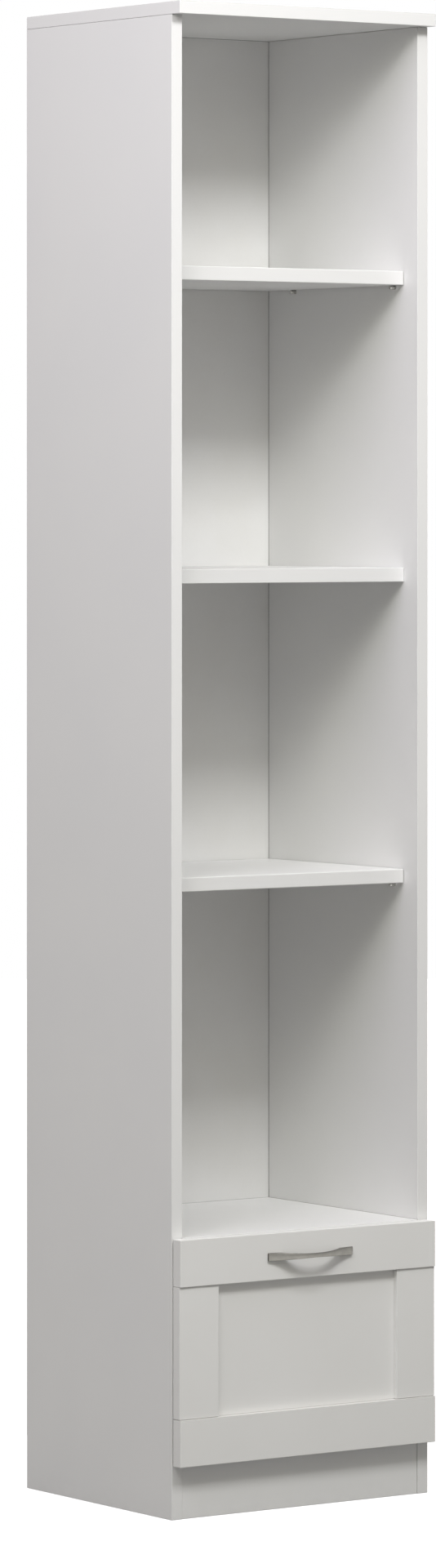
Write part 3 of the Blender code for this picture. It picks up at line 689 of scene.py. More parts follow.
def swept(name, radius, height, origin, direction, recess=None):
    """Grids of radius and height swept round an axis: origin + radius (cos t, sin t) + height.

    recess is (arm length, arm width, depth): inside the arms the height is lowered by the depth, with
    sloping sides, which leaves the cross that a driver fits.
    """
    t = np.arange(radius.shape[1]) * 2.0 * np.pi / radius.shape[1]
    x = radius * np.cos(t)
    y = radius * np.sin(t)
    z = height
    if recess is not None:
        length, width, depth = recess
        near, far = np.minimum(np.abs(x), np.abs(y)), np.maximum(np.abs(x), np.abs(y))
        inside = np.clip((width / 2 - near) / (width / 4), 0.0, 1.0)
        inside *= np.clip((length / 2 - far) / (length / 5), 0.0, 1.0)
        on_face = z > height.max() - depth
        z = z - depth * inside * on_face
    first, second, third = axes_along(direction)
    grid = np.asarray(origin) + x[..., None] * first + y[..., None] * second + z[..., None] * third
    return skin(name, grid)


def turned_skin(name, profile, origin, direction, steps=32, recess=None):
    """A turned body: each (radius, height) of its profile is the same all round."""
    radius, height = np.repeat(np.asarray(profile, float).T[:, :, None], steps, axis=2)
    return swept(name, radius, height, origin, direction, recess)


def dome(radius, rise, count, base=0.0):
    """Profile points over a round head, from its rim to its middle: height = base + rise (1 - (r/R)^2)."""
    r = np.linspace(radius, 0.0, count)
    return [(float(value), float(base + rise * (1.0 - (value / radius) ** 2))) for value in r]


print("a pin's rim has 32 facets of", round(360 / 32, 2), "degrees")

# %% [markdown]
# ## Holes and pockets
#
# A hole is cut as in the workshop: something with the shape of the hole is taken out of the board. Blender
# could keep its cutters as live modifiers; they are used up at once instead, so that each board ends as a
# plain mesh, and nothing invisible is left beside it.


# %% Take one mesh out of another
def merged(name, meshes):
    """Several meshes as one."""
    together = bmesh.new()
    for mesh in meshes:
        together.from_mesh(mesh)
        bpy.data.meshes.remove(mesh)
    mesh = bpy.data.meshes.new(name)
    together.to_mesh(mesh)
    together.free()
    return mesh


def cut_out(mesh, cutters):
    """The mesh with the space of the cutters taken out of it."""
    obj = bpy.data.objects.new("to_cut", mesh)
    tool = bpy.data.objects.new("cutter", merged("cutter", cutters))
    bpy.context.scene.collection.objects.link(obj)
    bpy.context.scene.collection.objects.link(tool)
    boolean = obj.modifiers.new("cut", "BOOLEAN")
    boolean.operation = "DIFFERENCE"
    boolean.object = tool
    boolean.use_self = True
    bpy.context.view_layer.update()
    result = bpy.data.meshes.new_from_object(obj.evaluated_get(bpy.context.evaluated_depsgraph_get()))
    for used in (obj, tool):
        bpy.data.objects.remove(used)
    return result


# %% [markdown]
# Every opening belongs to the piece that sits in it, so its cutter is worked out from that piece: the same
# axis, the same size, and a gap of a third of a millimetre. A pin has a plain bore, and a screw a cone and a
# bore.

# %% Cutters for pins and screws
HOLE_GAP = 0.0003
PIERCE = 0.0005
TOP_SCREW_SHANK = 0.0030


def hole_through(node_name, axis):
    """A round cutter as wide as a turned node and its gap, standing just proud of the node's ends."""
    low, high = corners(node_name)
    middle = (low + high) / 2
    across = [other for other in range(3) if other != axis]
    radius = (high - low)[across].max() / 2 + HOLE_GAP
    length = (high - low)[axis] + 2 * PIERCE
    start = middle.copy()
    start[axis] -= length / 2
    direction = np.eye(3)[axis]
    profile = [(0.0, 0.0), (radius, 0.0), (radius, length), (0.0, length)]
    return turned_skin("hole", profile, start, direction)


def countersink(face_point, inward, head, shank, length):
    """The cutter of a countersunk hole: a cone from the head's radius to the shank's, then the bore."""
    wide, narrow = head + HOLE_GAP, shank + HOLE_GAP
    cone = head - shank
    profile = [(0.0, -PIERCE), (wide, -PIERCE), (wide, 0.0), (narrow, cone), (narrow, length), (0.0, length)]
    return turned_skin("countersink", profile, face_point, inward, 24)


def top_screw_hole(node_name):
    """The hole of one of the top panel's screws, which point down."""
    low, high = corners(node_name)
    head = (high - low)[0] / 2
    face = (*((low + high) / 2)[:2], high[2])
    return countersink(face, (0.0, 0.0, -1.0), head, TOP_SCREW_SHANK, (high - low)[2] + PIERCE)


print("room round a pin or a screw, mm:", 1000 * HOLE_GAP)

# %% [markdown]
# A cam fitting is one node with a round drum and a long bolt, and only the drum needs a pocket, open on one
# face of its board. So the drum is found first: as wide as the node is narrow, and at one end of it.


# %% Places and pockets of the cams
def cam_place(node_name, axis, side):
    """Where a cam's drum lies: its face is on one side of an axis, and its bolt leaves along another.

    Of the two other directions the narrow one is as wide as the drum. Along the long one the drum is at
    the end that is nearer to the middle of the furniture, because its bolt reaches for the next board.
    """
    low, high = corners(node_name)
    others = [other for other in range(3) if other != axis]
    narrow, far = sorted(others, key=lambda other: (high - low)[other])
    radius = (high - low)[narrow] / 2
    inner = 1 if abs(low[far]) > abs(high[far]) else 0
    outward = np.eye(3)[far] * (1 - 2 * inner)
    face = (low + high) / 2
    face[axis] = (low, high)[side][axis]
    face[far] = (low, high)[inner][far] + radius * outward[far]
    inward = np.eye(3)[axis] * (1 - 2 * side)
    reach = (high - low)[far] - radius
    return {"radius": radius, "face": face, "inward": inward, "outward": outward, "reach": reach}


def cam_pocket(node_name, axis, side):
    """The round pocket of a cam, open on the face that the cam is set flush with."""
    low, high = corners(node_name)
    drum = cam_place(node_name, axis, side)
    depth = (high - low)[axis] + PIERCE + HOLE_GAP
    wide = drum["radius"] + HOLE_GAP
    profile = [(0.0, 0.0), (wide, 0.0), (wide, depth), (0.0, depth)]
    return turned_skin("pocket", profile, drum["face"] - PIERCE * drum["inward"], drum["inward"])


cam_radius = cam_place("cam_fitting_shelf_middle_front_left", 2, 0)["radius"]
print("a cam's pocket, mm across:", round(2000 * float(cam_radius + HOLE_GAP), 1))

# %% [markdown]
# ## The boards of the case
#
# All the boards of the case have their band at the front. The loose shelves are rubbed over a little more
# than the rest, as the picture shows by their wider highlight. The sides are drilled for the shelf pins, the
# top panel is countersunk for four screws, and the three boards that are bolted between the sides have a
# pocket for a cam at each corner of their underside.

# %% Make the case
ARRIS = 0.0005
SOFT_ARRIS = 0.0010
FRONT_EDGE = (1, 0)
UPPER_EDGE = (2, 1)
HANDS = ("left", "right")
ROWS = ("front", "rear")
TOP_SCREWS = [f"top_screw_{row}_{hand}" for row in ROWS for hand in HANDS]
PIN_PLACES = [(shelf, row) for shelf in ("shelf_upper", "shelf_lower") for row in ROWS]
BOLTED_BOARDS = ("drawer_cover_board", "shelf_middle", "bottom_board")


def finish_board(node_name, rounding, band, cutters=()):
    """A board in the place of a node, its openings cut, its map written."""
    low, high = corners(node_name)
    mesh = board_skin(node_name, low, high, rounding)
    if cutters:
        mesh = cut_out(mesh, list(cutters))
    write_board_map(mesh, low, high, rounding, band)
    return stand_in(node_name, mesh)


for hand in HANDS:
    pins = [f"{shelf}_pin_{row}_{hand}" for shelf, row in PIN_PLACES]
    finish_board("side_panel_" + hand, ARRIS, FRONT_EDGE, [hole_through(name, 0) for name in pins])
for board_name in BOLTED_BOARDS:
    cams = [f"cam_fitting_{board_name}_{row}_{hand}" for row in ROWS for hand in HANDS]
    finish_board(board_name, ARRIS, FRONT_EDGE, [cam_pocket(name, 2, 0) for name in cams])
for board_name in ("shelf_upper", "shelf_lower"):
    finish_board(board_name, SOFT_ARRIS, FRONT_EDGE)
finish_board("plinth", ARRIS, UPPER_EDGE)
finish_board("top_panel", ARRIS, FRONT_EDGE, [top_screw_hole(name) for name in TOP_SCREWS])

# %% [markdown]
# ## The back panel and its nails
#
# The back is a sheet of hardboard, nailed to the rear edges of the sides and of the fixed boards. A nail
# head is driven until it sits in a small dimple of its own, level with the paint. The dimples are cut out of
# the sheet, and all the nails are one piece, because they are made and coloured alike.

# %% Make the back and nail it on
SHEET_ARRIS = 0.0003
NAIL_HEAD = 0.0015
NAIL_DIMPLE = 0.0018
NAIL_SUNK = 0.00035
NAIL_SHANK = 0.0006
NAIL_LENGTH = 0.018
NAIL_SPACING = 0.180
NAIL_END = 0.025
NAIL_SHARES = (0.3, 0.7)


def nail_places():
    """Where the nails go, as X and Z: up both sides and along each fixed board's rear edge."""
    low, high = corners("back_panel")
    count = int(round((high[2] - low[2] - 2 * NAIL_END) / NAIL_SPACING)) + 1
    heights = np.linspace(low[2] + NAIL_END, high[2] - NAIL_END, count)
    places = []
    for hand in HANDS:
        side_low, side_high = corners("side_panel_" + hand)
        places += [((side_low[0] + side_high[0]) / 2, height) for height in heights]
    for board_name in ("top_panel", "shelf_middle", "drawer_cover_board", "bottom_board"):
        board_low, board_high = corners(board_name)
        across = board_low[0] + (board_high[0] - board_low[0]) * np.array(NAIL_SHARES)
        places += [(x, (board_low[2] + board_high[2]) / 2) for x in across]
    return places


def nail(x, z):
    """A wire nail: a head slightly rounded at its rim, and a shank that ends in a point."""
    rear = corners("back_panel")[1][1]
    crown = NAIL_SUNK * 0.8
    profile = [(0.0, -NAIL_LENGTH), (NAIL_SHANK, -NAIL_LENGTH + 3 * NAIL_SHANK)]
    profile += [(NAIL_SHANK, -NAIL_SUNK * 2), (NAIL_HEAD, -NAIL_SUNK)]
    profile += dome(NAIL_HEAD * 0.95, crown, 4, -crown)
    return turned_skin("nail", profile, (x, rear, z), (0, 1, 0), 12)


def dimple(x, z):
    """The cutter of a nail's dimple, a shallow cup as deep as the head is thick."""
    rear = corners("back_panel")[1][1]
    profile = [(0.0, -NAIL_SUNK), (NAIL_HEAD, -NAIL_SUNK), (NAIL_DIMPLE, 0.0)]
    profile += [(NAIL_DIMPLE, PIERCE), (0.0, PIERCE)]
    return turned_skin("dimple", profile, (x, rear, z), (0, 1, 0), 12)


NAILS = nail_places()
finish_board("back_panel", SHEET_ARRIS, None, [dimple(x, z) for x, z in NAILS])
piece("back_nails", merged("back_nails", [nail(x, z) for x, z in NAILS]), "case", "bright_zinc")
print("nails in the back:", len(NAILS))

# %% [markdown]
# ## Pins under the loose shelves
#
# Each loose shelf lies on four nickel-plated steel pegs that sit in holes of the sides. They are cut from
# wire and tumbled, so both ends have a soft rim. Half of each peg is hidden in its hole, and the picture
# shows the other half as a small pale stub just under the shelf.

# %% Make the shelf pins
PIN_RIM = 0.0007


def rounded_peg(radius, length, rim, count=4):
    """Profile of a peg with a quarter circle at each end: radius - rim + rim (cos a, sin a)."""
    a = np.linspace(0.0, np.pi / 2, count)
    low = np.stack([radius - rim + rim * np.sin(a), rim - rim * np.cos(a)], axis=-1)
    high = np.stack([low[::-1, 0], length - low[::-1, 1]], axis=-1)
    return [(0.0, 0.0), *low.tolist(), *high.tolist(), (0.0, length)]


def make_pin(node_name):
    """One shelf pin, lying along X in the place of its node."""
    low, high = corners(node_name)
    start = (low[0], *((low + high) / 2)[1:])
    profile = rounded_peg((high - low)[1] / 2, (high - low)[0], PIN_RIM)
    mesh = turned_skin(node_name, profile, start, (1, 0, 0))
    stand_in(node_name, mesh)


for hand in HANDS:
    for shelf, row in PIN_PLACES:
        make_pin(f"{shelf}_pin_{row}_{hand}")
print("pins:", len(PIN_PLACES) * len(HANDS))

# %% [markdown]
# ## Screws
#
# The top panel's screws lie flush in their countersinks, and two more hold the handle from inside the
# drawer. A screw is turned, but not only turned: its thread winds, so its radius depends on both the height
# and the angle round the axis. On a grid that is one line more, the distance to the nearest turn of a helix.

# %% Wind a thread
THREAD_PITCH = 0.0022
THREAD_DEPTH = 0.0006
RINGS_PER_TURN = 6


def threaded_skin(name, profile, thread_from, thread_to, origin, direction, recess, steps=24):
    """A turned body whose radius, between two heights, loses depth times the distance to a helix.

    radius(t, h) = profile(h) - depth |2 frac(h / pitch - t / 2 pi) - 1|, so one turn climbs by one pitch.
    """
    radius, height = np.asarray(profile, float).T
    count = int((thread_to - thread_from) / THREAD_PITCH * RINGS_PER_TURN)
    extra = np.linspace(thread_from, thread_to, count)
    near = int(np.searchsorted(height, thread_from, side="right"))
    shank = float(np.interp(thread_from, height[:near + 1], radius[:near + 1]))
    radius = np.concatenate([radius[:near], np.full(count, shank), radius[near:]])
    height = np.concatenate([height[:near], extra, height[near:]])
    height = np.repeat(height[:, None], steps, axis=1)
    winding = height / THREAD_PITCH - np.arange(steps) / steps
    turn = np.abs(2.0 * np.mod(winding, 1.0) - 1.0)
    threaded = (height > thread_from) & (height < thread_to)
    return swept(name, radius[:, None] - THREAD_DEPTH * turn * threaded, height, origin, direction, recess)


print("threads wind", round(1000 * THREAD_PITCH, 1), "mm a turn")

# %% [markdown]
# A screw of the top panel stands on its point, with a flat head over a cone. The head is closed by many
# narrow rings, because the cross is pressed into their points.

# %% Make the screws of the top panel
RECESS = 0.0017
HEAD_RIM = 0.0002
TOP_SCREW_TIP = 0.0006
TOP_SCREW_POINT = 0.005
TOP_SCREW_THREAD = 0.0055
TOP_SCREW_SMOOTH = 0.014
TOP_SCREW_CROSS_WIDTH = 0.0013


def make_top_screw(node_name):
    """A countersunk screw, its head up: point, threaded shank, cone, and a flat head with a cross recess."""
    low, high = corners(node_name)
    head = (high - low)[0] / 2
    length = (high - low)[2]
    rings = [(r, length) for r in np.linspace(head - HEAD_RIM, 0.0, 12)]
    shank = TOP_SCREW_SHANK
    neck = length - head + shank - HEAD_RIM
    profile = [(0.0, 0.0), (shank * 0.3, TOP_SCREW_TIP), (shank, TOP_SCREW_POINT), (shank, neck)]
    profile += [(head, length - HEAD_RIM), *rings]
    start = (*((low + high) / 2)[:2], low[2])
    recess = (head * 1.35, TOP_SCREW_CROSS_WIDTH, RECESS)
    thread = (TOP_SCREW_THREAD, length - TOP_SCREW_SMOOTH)
    mesh = threaded_skin(node_name, profile, *thread, start, (0, 0, 1), recess)
    stand_in(node_name, mesh)


for screw_name in TOP_SCREWS:
    make_top_screw(screw_name)
print("screws through the top:", len(TOP_SCREWS))

# %% [markdown]
# The handle's screws come from inside the drawer. Each has a low round head that bears on the rail, and its
# thread bites in the handle's foot.

# %% Make the screws of the handle
HANDLE_SCREW_SHANK = 0.0020
HANDLE_SCREW_HEAD = 0.0022
HANDLE_SCREW_DOME = 0.45
HANDLE_SCREW_TIP = 0.0006
HANDLE_SCREW_THREAD = 0.0010
HANDLE_SCREW_SMOOTH = 0.004
HANDLE_SCREW_CROSS_WIDTH = 0.0012


def make_handle_screw(node_name):
    """A pan-head screw that points to the front: its thread bites in the handle, its head lies inside."""
    low, high = corners(node_name)
    head = (high - low)[0] / 2
    length = (high - low)[1]
    seat = length - HANDLE_SCREW_HEAD
    shank = HANDLE_SCREW_SHANK
    profile = [(0.0, 0.0), (shank * 0.7, 0.0), (shank, HANDLE_SCREW_TIP), (shank, seat), (head, seat)]
    rise = HANDLE_SCREW_HEAD * HANDLE_SCREW_DOME
    profile += dome(head, rise, 12, length - rise)
    middle = (low + high) / 2
    start = (middle[0], low[1], middle[2])
    recess = (head * 1.3, HANDLE_SCREW_CROSS_WIDTH, RECESS)
    thread = (HANDLE_SCREW_THREAD, seat - HANDLE_SCREW_SMOOTH)
    mesh = threaded_skin(node_name, profile, *thread, start, (0, 1, 0), recess)
    stand_in(node_name, mesh)


for hand in HANDS:
    make_handle_screw("handle_screw_" + hand)
print("screws behind the handle:", len(HANDS))

# %% [markdown]
# ## Cam fittings
#
# A cam fitting is two castings: a drum that lies in a round pocket, and a bolt that is screwed into the
# next board. A quarter turn of the drum pulls the bolt tight. Only the drum's face shows, level with the
# board, with a cross for the driver and a stepped rim, but both are made whole.

# %% Make the cams and their bolts
CAM_RIM = 0.0008
CAM_STEP = 0.0004
CAM_WALL = 0.0012
CAM_CROSS = (0.0090, 0.0019, 0.0018)
BOLT_COLLAR = 0.0030
BOLT_SHANK = 0.0025
BOLT_TIP = 0.011
BOLT_POINT = 0.0025


def make_fitting(node_name, axis, side):
    """Drum and bolt in the place of a node; the drum's face is on one side of an axis."""
    low, high = corners(node_name)
    drum = cam_place(node_name, axis, side)
    radius = drum["radius"]
    deep = (high - low)[axis]
    rings = [(r, CAM_STEP) for r in np.linspace(radius - CAM_RIM * 1.5, 0.0, 14)]
    profile = [(0.0, deep), (radius * 0.9, deep), (radius, deep - CAM_RIM), (radius, CAM_RIM * 0.4)]
    profile += [(radius - CAM_RIM * 0.4, 0.0), (radius - CAM_RIM, 0.0), *rings]
    turned_profile = [(r, -h) for r, h in profile]
    cam = turned_skin("cam", turned_profile, drum["face"], -drum["inward"], 40, CAM_CROSS)
    reach = drum["reach"]
    level = drum["face"] + drum["inward"] * (deep - CAM_WALL - BOLT_COLLAR)
    bolt_profile = [(0.0, 0.0), (BOLT_COLLAR, 0.0), (BOLT_COLLAR, reach - BOLT_TIP)]
    bolt_profile += [(BOLT_SHANK, reach - BOLT_TIP), (BOLT_SHANK, reach - BOLT_POINT)]
    bolt_profile += [(BOLT_SHANK * 0.4, reach), (0.0, reach)]
    bolt = turned_skin("bolt", bolt_profile, level, drum["outward"], 20)
    mesh = merged(node_name, [cam, bolt])
    stand_in(node_name, mesh)


for hand in HANDS:
    for board_name in BOLTED_BOARDS:
        for row in ROWS:
            make_fitting(f"cam_fitting_{board_name}_{row}_{hand}", 2, 0)
    for row in ("lower", "upper"):
        make_fitting(f"cam_fitting_drawer_{row}_{hand}", 0, HANDS.index(hand))
print("cam fittings:", (len(BOLTED_BOARDS) * len(ROWS) + 2) * len(HANDS))

# %% [markdown]
# ## The framed drawer front
#
# Two rails run the whole width, two stiles stand between them and two millimetres further back, and a thin
# panel floats in grooves of all four. The step between rail and stile throws the short shadows at the
# corners of the frame, and the panel's depth the long one under the upper rail. A groove is the panel's own
# block, grown by a gap of a third of a millimetre, so the dark line round the panel is a real gap.

# %% Make the drawer front
FOIL_ARRIS = 0.0006
PANEL_ARRIS = 0.0004


def block(low, high):
    """A plain box as a cutter: two rings of four corners."""
    low, high = np.asarray(low), np.asarray(high)
    turn = np.array([[0, 0], [1, 0], [1, 1], [0, 1]])
    flat = low[:2] + (high - low)[:2] * turn
    grid = np.stack([np.column_stack([flat, np.full(4, level)]) for level in (low[2], high[2])])
    return skin("block", grid)


def groove_for(node_name):
    """The room that a board takes in its neighbours: its own block and a gap on all sides."""
    low, high = corners(node_name)
    return block(low - HOLE_GAP, high + HOLE_GAP)


finish_board("drawer_rail_top", FOIL_ARRIS, None, [groove_for("drawer_panel")])
rail_grooves = [groove_for("drawer_panel"), groove_for("drawer_bottom")]
finish_board("drawer_rail_bottom", FOIL_ARRIS, None, rail_grooves)
for hand in HANDS:
    finish_board("drawer_stile_" + hand, FOIL_ARRIS, None, [groove_for("drawer_panel")])
finish_board("drawer_panel", PANEL_ARRIS, None)
panel_depth = (corners("drawer_panel")[0] - corners("drawer_rail_top")[0])[1]
print("panel behind the rails, mm:", round(1000 * panel_depth, 1))

# %% [markdown]
# ## The drawer box
#
# Behind the front the drawer is plain: two sides, a back and a thin bottom in grooves. Its boards have
# their band on the upper edge, because that is the edge one sees and touches. Two countersunk screws on
# each side go through the side into the end of the back. They have no thread, because all that ever shows of
# such a screw is its head, level with the board.

# %% Make a sunk screw
SUNK_SCREW_POINT = 0.003


def sunk_screw(face_point, inward, head, shank, length, cross):
    """A small countersunk screw whose head is level with a face; its shank goes into the board behind."""
    cone = head - shank
    rings = [(r, 0.0) for r in np.linspace(head - HEAD_RIM, 0.0, 10)]
    profile = [(0.0, -length), (shank * 0.8, SUNK_SCREW_POINT - length), (shank, -cone), (head, -HEAD_RIM)]
    profile += rings
    return turned_skin("screw", profile, face_point, -np.asarray(inward, float), 24, cross)


print("a sunk screw's point, mm:", 1000 * SUNK_SCREW_POINT)

# %% [markdown]
# The sinks for them are cut together with the pockets for the cams and the groove for the bottom.

# %% Make the drawer box
BACK_SCREW = {"head": 0.0038, "shank": 0.0018, "length": 0.034}
BACK_SCREW_CROSS = (0.0048, 0.0010, 0.0013)
BACK_SCREW_SHARES = (0.2, 0.8)
for side, hand in enumerate(HANDS):
    cams = [cam_pocket(f"cam_fitting_drawer_{row}_{hand}", 0, side) for row in ("lower", "upper")]
    face = corners("drawer_side_" + hand)[side][0]
    back_low, back_high = corners("drawer_back")
    depth = (back_low[1] + back_high[1]) / 2
    heights = [back_low[2] + share * (back_high[2] - back_low[2]) for share in BACK_SCREW_SHARES]
    inward = (1.0 - 2.0 * side, 0.0, 0.0)
    sinks = [countersink((face, depth, height), inward, **BACK_SCREW) for height in heights]
    finish_board("drawer_side_" + hand, ARRIS, UPPER_EDGE, [groove_for("drawer_bottom"), *cams, *sinks])
    places = [(face, depth, height) for height in heights]
    screws = [sunk_screw(place, inward, **BACK_SCREW, cross=BACK_SCREW_CROSS) for place in places]
    piece("drawer_back_screws_" + hand, merged("screws", screws), "drawer", "bright_zinc")
finish_board("drawer_back", ARRIS, UPPER_EDGE, [groove_for("drawer_bottom")])
finish_board("drawer_bottom", SHEET_ARRIS, None)
drawer_width = (corners("drawer_back")[1] - corners("drawer_back")[0])[0]
print("drawer inside, mm:", np.round(1000 * drawer_width, 1), "wide")

# %% [markdown]
# ## The bow handle
#
# The handle is cast and brushed: a bar that swells out of two flat feet, thins towards its waist and bows
# away from the front far enough for two fingers. Its two faces are not parallel. The outer one follows a
# raised cosine that is a little fuller than the plain one, the inner one is an arch between the feet, which
# stay flat and solid.

# %% Draw the lines of the handle
HANDLE_FOOT = 0.0205
HANDLE_FULLNESS = 1.3
HANDLE_ARCH = 0.75
HANDLE_FOOT_T = 0.0032
HANDLE_WAIST_T = 0.004
HANDLE_WAIST_HEIGHT = 0.0055
HANDLE_RIM = 0.0006
HANDLE_STATIONS = 97
HANDLE_FOOT_STATIONS = 16


def bell(x, half_length, fullness=1.0):
    """A smooth rise from 0 at the ends of a span to 1 in its middle: (cos(pi s^fullness) + 1) / 2.

    Here s = |x| / half the span; a fullness above 1 keeps it high for longer.
    """
    return (np.cos(np.pi * np.minimum(np.abs(x) / half_length, 1.0) ** fullness) + 1.0) / 2.0


def handle_lines(low, high):
    """Stations along the bar, and at each the outer face, the inner face and half the bar's height.

    The outer face stands foot + (reach - foot) bell(x) off the front. The inner one is the arch
    (reach - waist) (1 - (x / hollow)^2)^(3/4) and lies flat under the feet. At both ends the bar is drawn
    in by a quarter circle, so the foot has a soft rim.
    """
    half_length = (high - low)[0] / 2
    reach = (high - low)[1]
    hollow = half_length - HANDLE_FOOT
    flat_end = half_length - HANDLE_RIM
    rim = flat_end + HANDLE_RIM * np.sin(np.linspace(0.0, np.pi / 2, 5))
    foot = np.linspace(hollow, flat_end, HANDLE_FOOT_STATIONS)
    arch = -hollow * np.cos(np.linspace(0.0, np.pi, HANDLE_STATIONS))
    right = np.concatenate([foot[1:-1], rim])
    x = np.concatenate([-right[::-1], arch, right])
    past = np.clip((np.abs(x) - flat_end) / HANDLE_RIM, 0.0, 1.0)
    drawn_in = HANDLE_RIM * (1.0 - np.sqrt(1.0 - past**2))
    outer = HANDLE_FOOT_T + (reach - HANDLE_FOOT_T) * bell(x, half_length, HANDLE_FULLNESS)
    inner = (reach - HANDLE_WAIST_T) * np.clip(1.0 - (x / hollow) ** 2, 0.0, 1.0) ** HANDLE_ARCH
    end_height = (high - low)[2]
    tall = (end_height + (HANDLE_WAIST_HEIGHT - end_height) * bell(x, half_length)) / 2 - drawn_in
    return x, outer - drawn_in, inner, tall


handle_low, handle_high = corners("handle")
print("stations along the handle:", len(handle_lines(handle_low, handle_high)[0]))

# %% [markdown]
# The section is a rectangle with well rounded corners and an outer face that is all but flat; its slight
# crown lets a reflection drift across the face instead of flashing all at once. A curve with a bevel would
# carry one section along the bar. This one changes from the feet to the waist, so every ring is worked out.

# %% Make the handle
HANDLE_CORNER = 0.0011
HANDLE_CROWN = 0.00015
HANDLE_CORNER_STEPS = 6


def handle_skin(name, low, high):
    """Rings of the bar: ring(x, a) = centre(x) + signs (half(x) - corner) + corner (cos a, sin a).

    A point at distance d from the bar's middle lies d further from the front, less the crown, which lowers
    the outer face by crown (z / half height)^2.
    """
    x, outer, inner, tall = handle_lines(low, high)
    thick = (outer - inner) / 2
    corner = np.minimum(HANDLE_CORNER, 0.8 * np.minimum(thick, tall))
    quarter = np.linspace(0.0, np.pi / 2, HANDLE_CORNER_STEPS)
    angle = (quarter + np.arange(4)[:, None] * np.pi / 2).ravel()
    sign_d = np.repeat([1.0, -1.0, -1.0, 1.0], len(quarter))
    sign_z = np.repeat([1.0, 1.0, -1.0, -1.0], len(quarter))
    d = sign_d * (thick - corner)[:, None] + corner[:, None] * np.cos(angle)
    z = sign_z * (tall - corner)[:, None] + corner[:, None] * np.sin(angle)
    lowered = HANDLE_CROWN * (z / tall[:, None]) ** 2 * np.clip(d / thick[:, None], 0.0, 1.0)
    off_front = ((outer + inner) / 2)[:, None] + d - lowered
    middle = (low + high) / 2
    grid = np.stack([x[:, None] + middle[0] + 0 * z, high[1] - off_front, z + middle[2]], axis=-1)
    return skin(name, grid)


handle_mesh = handle_skin("handle", handle_low, handle_high)
stand_in("handle", handle_mesh)
print("handle faces:", len(handle_mesh.polygons))

# %% [markdown]
# ## The runners
#
# Each side of the drawer hangs on a telescope of three rolled channels. Galvanised strip is bent over a
# radius, so a channel's corners are round, and the lips of the two wider channels curl in a little to keep
# the balls on their track. The section is drawn once, as a middle line of straight runs and arcs with half
# the strip's thickness laid off on both sides, and then carried along the depth. Holes are punched through
# the web. Those of the outer and the inner member are sunk, and the screws that hold the members to the case
# and to the drawer lie flush in them, because a ball cage runs over them with hardly any room.

# %% Bend a strip into a channel
LIP_RADIUS = 0.0012


def channel_line(web, lip, half_height, thickness, bend, curl):
    """Middle line of a C section, from one lip to the other, and its normals; the web is the long run.

    Straight runs are joined by arcs: centre + radius (cos a, sin a), with a turning 90 degrees at each
    corner, and at each lip by the curl's angle. The normal of a point is the arc's own direction there.
    """
    half = half_height - thickness / 2
    toward = 1.0 if lip > web else -1.0
    radius = bend - thickness / 2
    a = np.linspace(0.0, np.pi / 2, 7)
    c = np.linspace(0.0, curl, 5)
    length = abs(lip - web)
    curled = LIP_RADIUS * np.sin(curl)
    lip_u = length - curled - thickness / 2 * np.sin(curl)
    lip_points = np.stack([lip_u + LIP_RADIUS * np.sin(c), half - LIP_RADIUS * (1 - np.cos(c))], axis=-1)
    lip_normals = np.stack([np.sin(c), np.cos(c)], axis=-1)
    inner_u = thickness / 2 + radius
    bend_points = np.stack([inner_u - radius * np.sin(a), half - radius + radius * np.cos(a)], axis=-1)
    bend_normals = np.stack([-np.sin(a), np.cos(a)], axis=-1)
    points = np.concatenate([lip_points[::-1], bend_points])
    normals = np.concatenate([lip_normals[::-1], bend_normals])
    mirror = np.array([1.0, -1.0])
    points = np.concatenate([points, points[::-1] * mirror])
    normals = np.concatenate([normals, normals[::-1] * mirror])
    side = np.array([toward, 1.0])
    return points * side + np.array([web, 0.0]), normals * side


def web_and_lip(low, high, web_side):
    """The X of a channel's web and of its lips; web_side says which of its two ends the web is at."""
    ends = (low[0], high[0])
    return ends[web_side], ends[1 - web_side]


def channel_skin(name, low, high, web_side, half_height, thickness, bend, curl):
    """A channel between two corners: its middle line with half the thickness laid off to both sides."""
    web, lip = web_and_lip(low, high, web_side)
    line, normals = channel_line(web, lip, half_height, thickness, bend, curl)
    ring = np.concatenate([line + normals * thickness / 2, (line - normals * thickness / 2)[::-1]])
    y = np.repeat(np.array([low[1], high[1]])[:, None], len(ring), axis=1)
    x = np.broadcast_to(ring[:, 0], y.shape)
    z = np.broadcast_to(ring[:, 1] + ((low + high) / 2)[2], y.shape)
    return skin(name, np.stack([x, y, z], axis=-1))


runner_low, runner_high = corners("runner_outer_left")
print("a runner, mm:", np.round(1000 * (runner_high - runner_low), 1))

# %% [markdown]
# The outer and the middle member have curled lips and open towards the drawer. The inner one is narrower, has
# plain flanges and opens the other way.

# %% Make the runner members
STRIP_T = 0.0012
BEND = 0.0016
LIP_CURL = np.radians(50.0)
HOLE_SHARES = (0.06, 0.34, 0.66, 0.94)
RUNNER_SCREW = {"head": 0.0030, "shank": 0.0019}
RUNNER_SCREW_CROSS = (0.0038, 0.0009, 0.0010)
RUNNER_SCREW_LENGTH = {"outer": 0.014, "inner": 0.010}


def web_points(node_name, web_side):
    """Points on the web's inner face at even shares of the length, and the direction out through the web."""
    low, high = corners(node_name)
    outward = np.array([2.0 * web_side - 1.0, 0.0, 0.0])
    face = (low, high)[web_side][0] - outward[0] * STRIP_T
    depths = low[1] + (high - low)[1] * np.array(HOLE_SHARES)
    return [(face, depth, (low[2] + high[2]) / 2) for depth in depths], outward


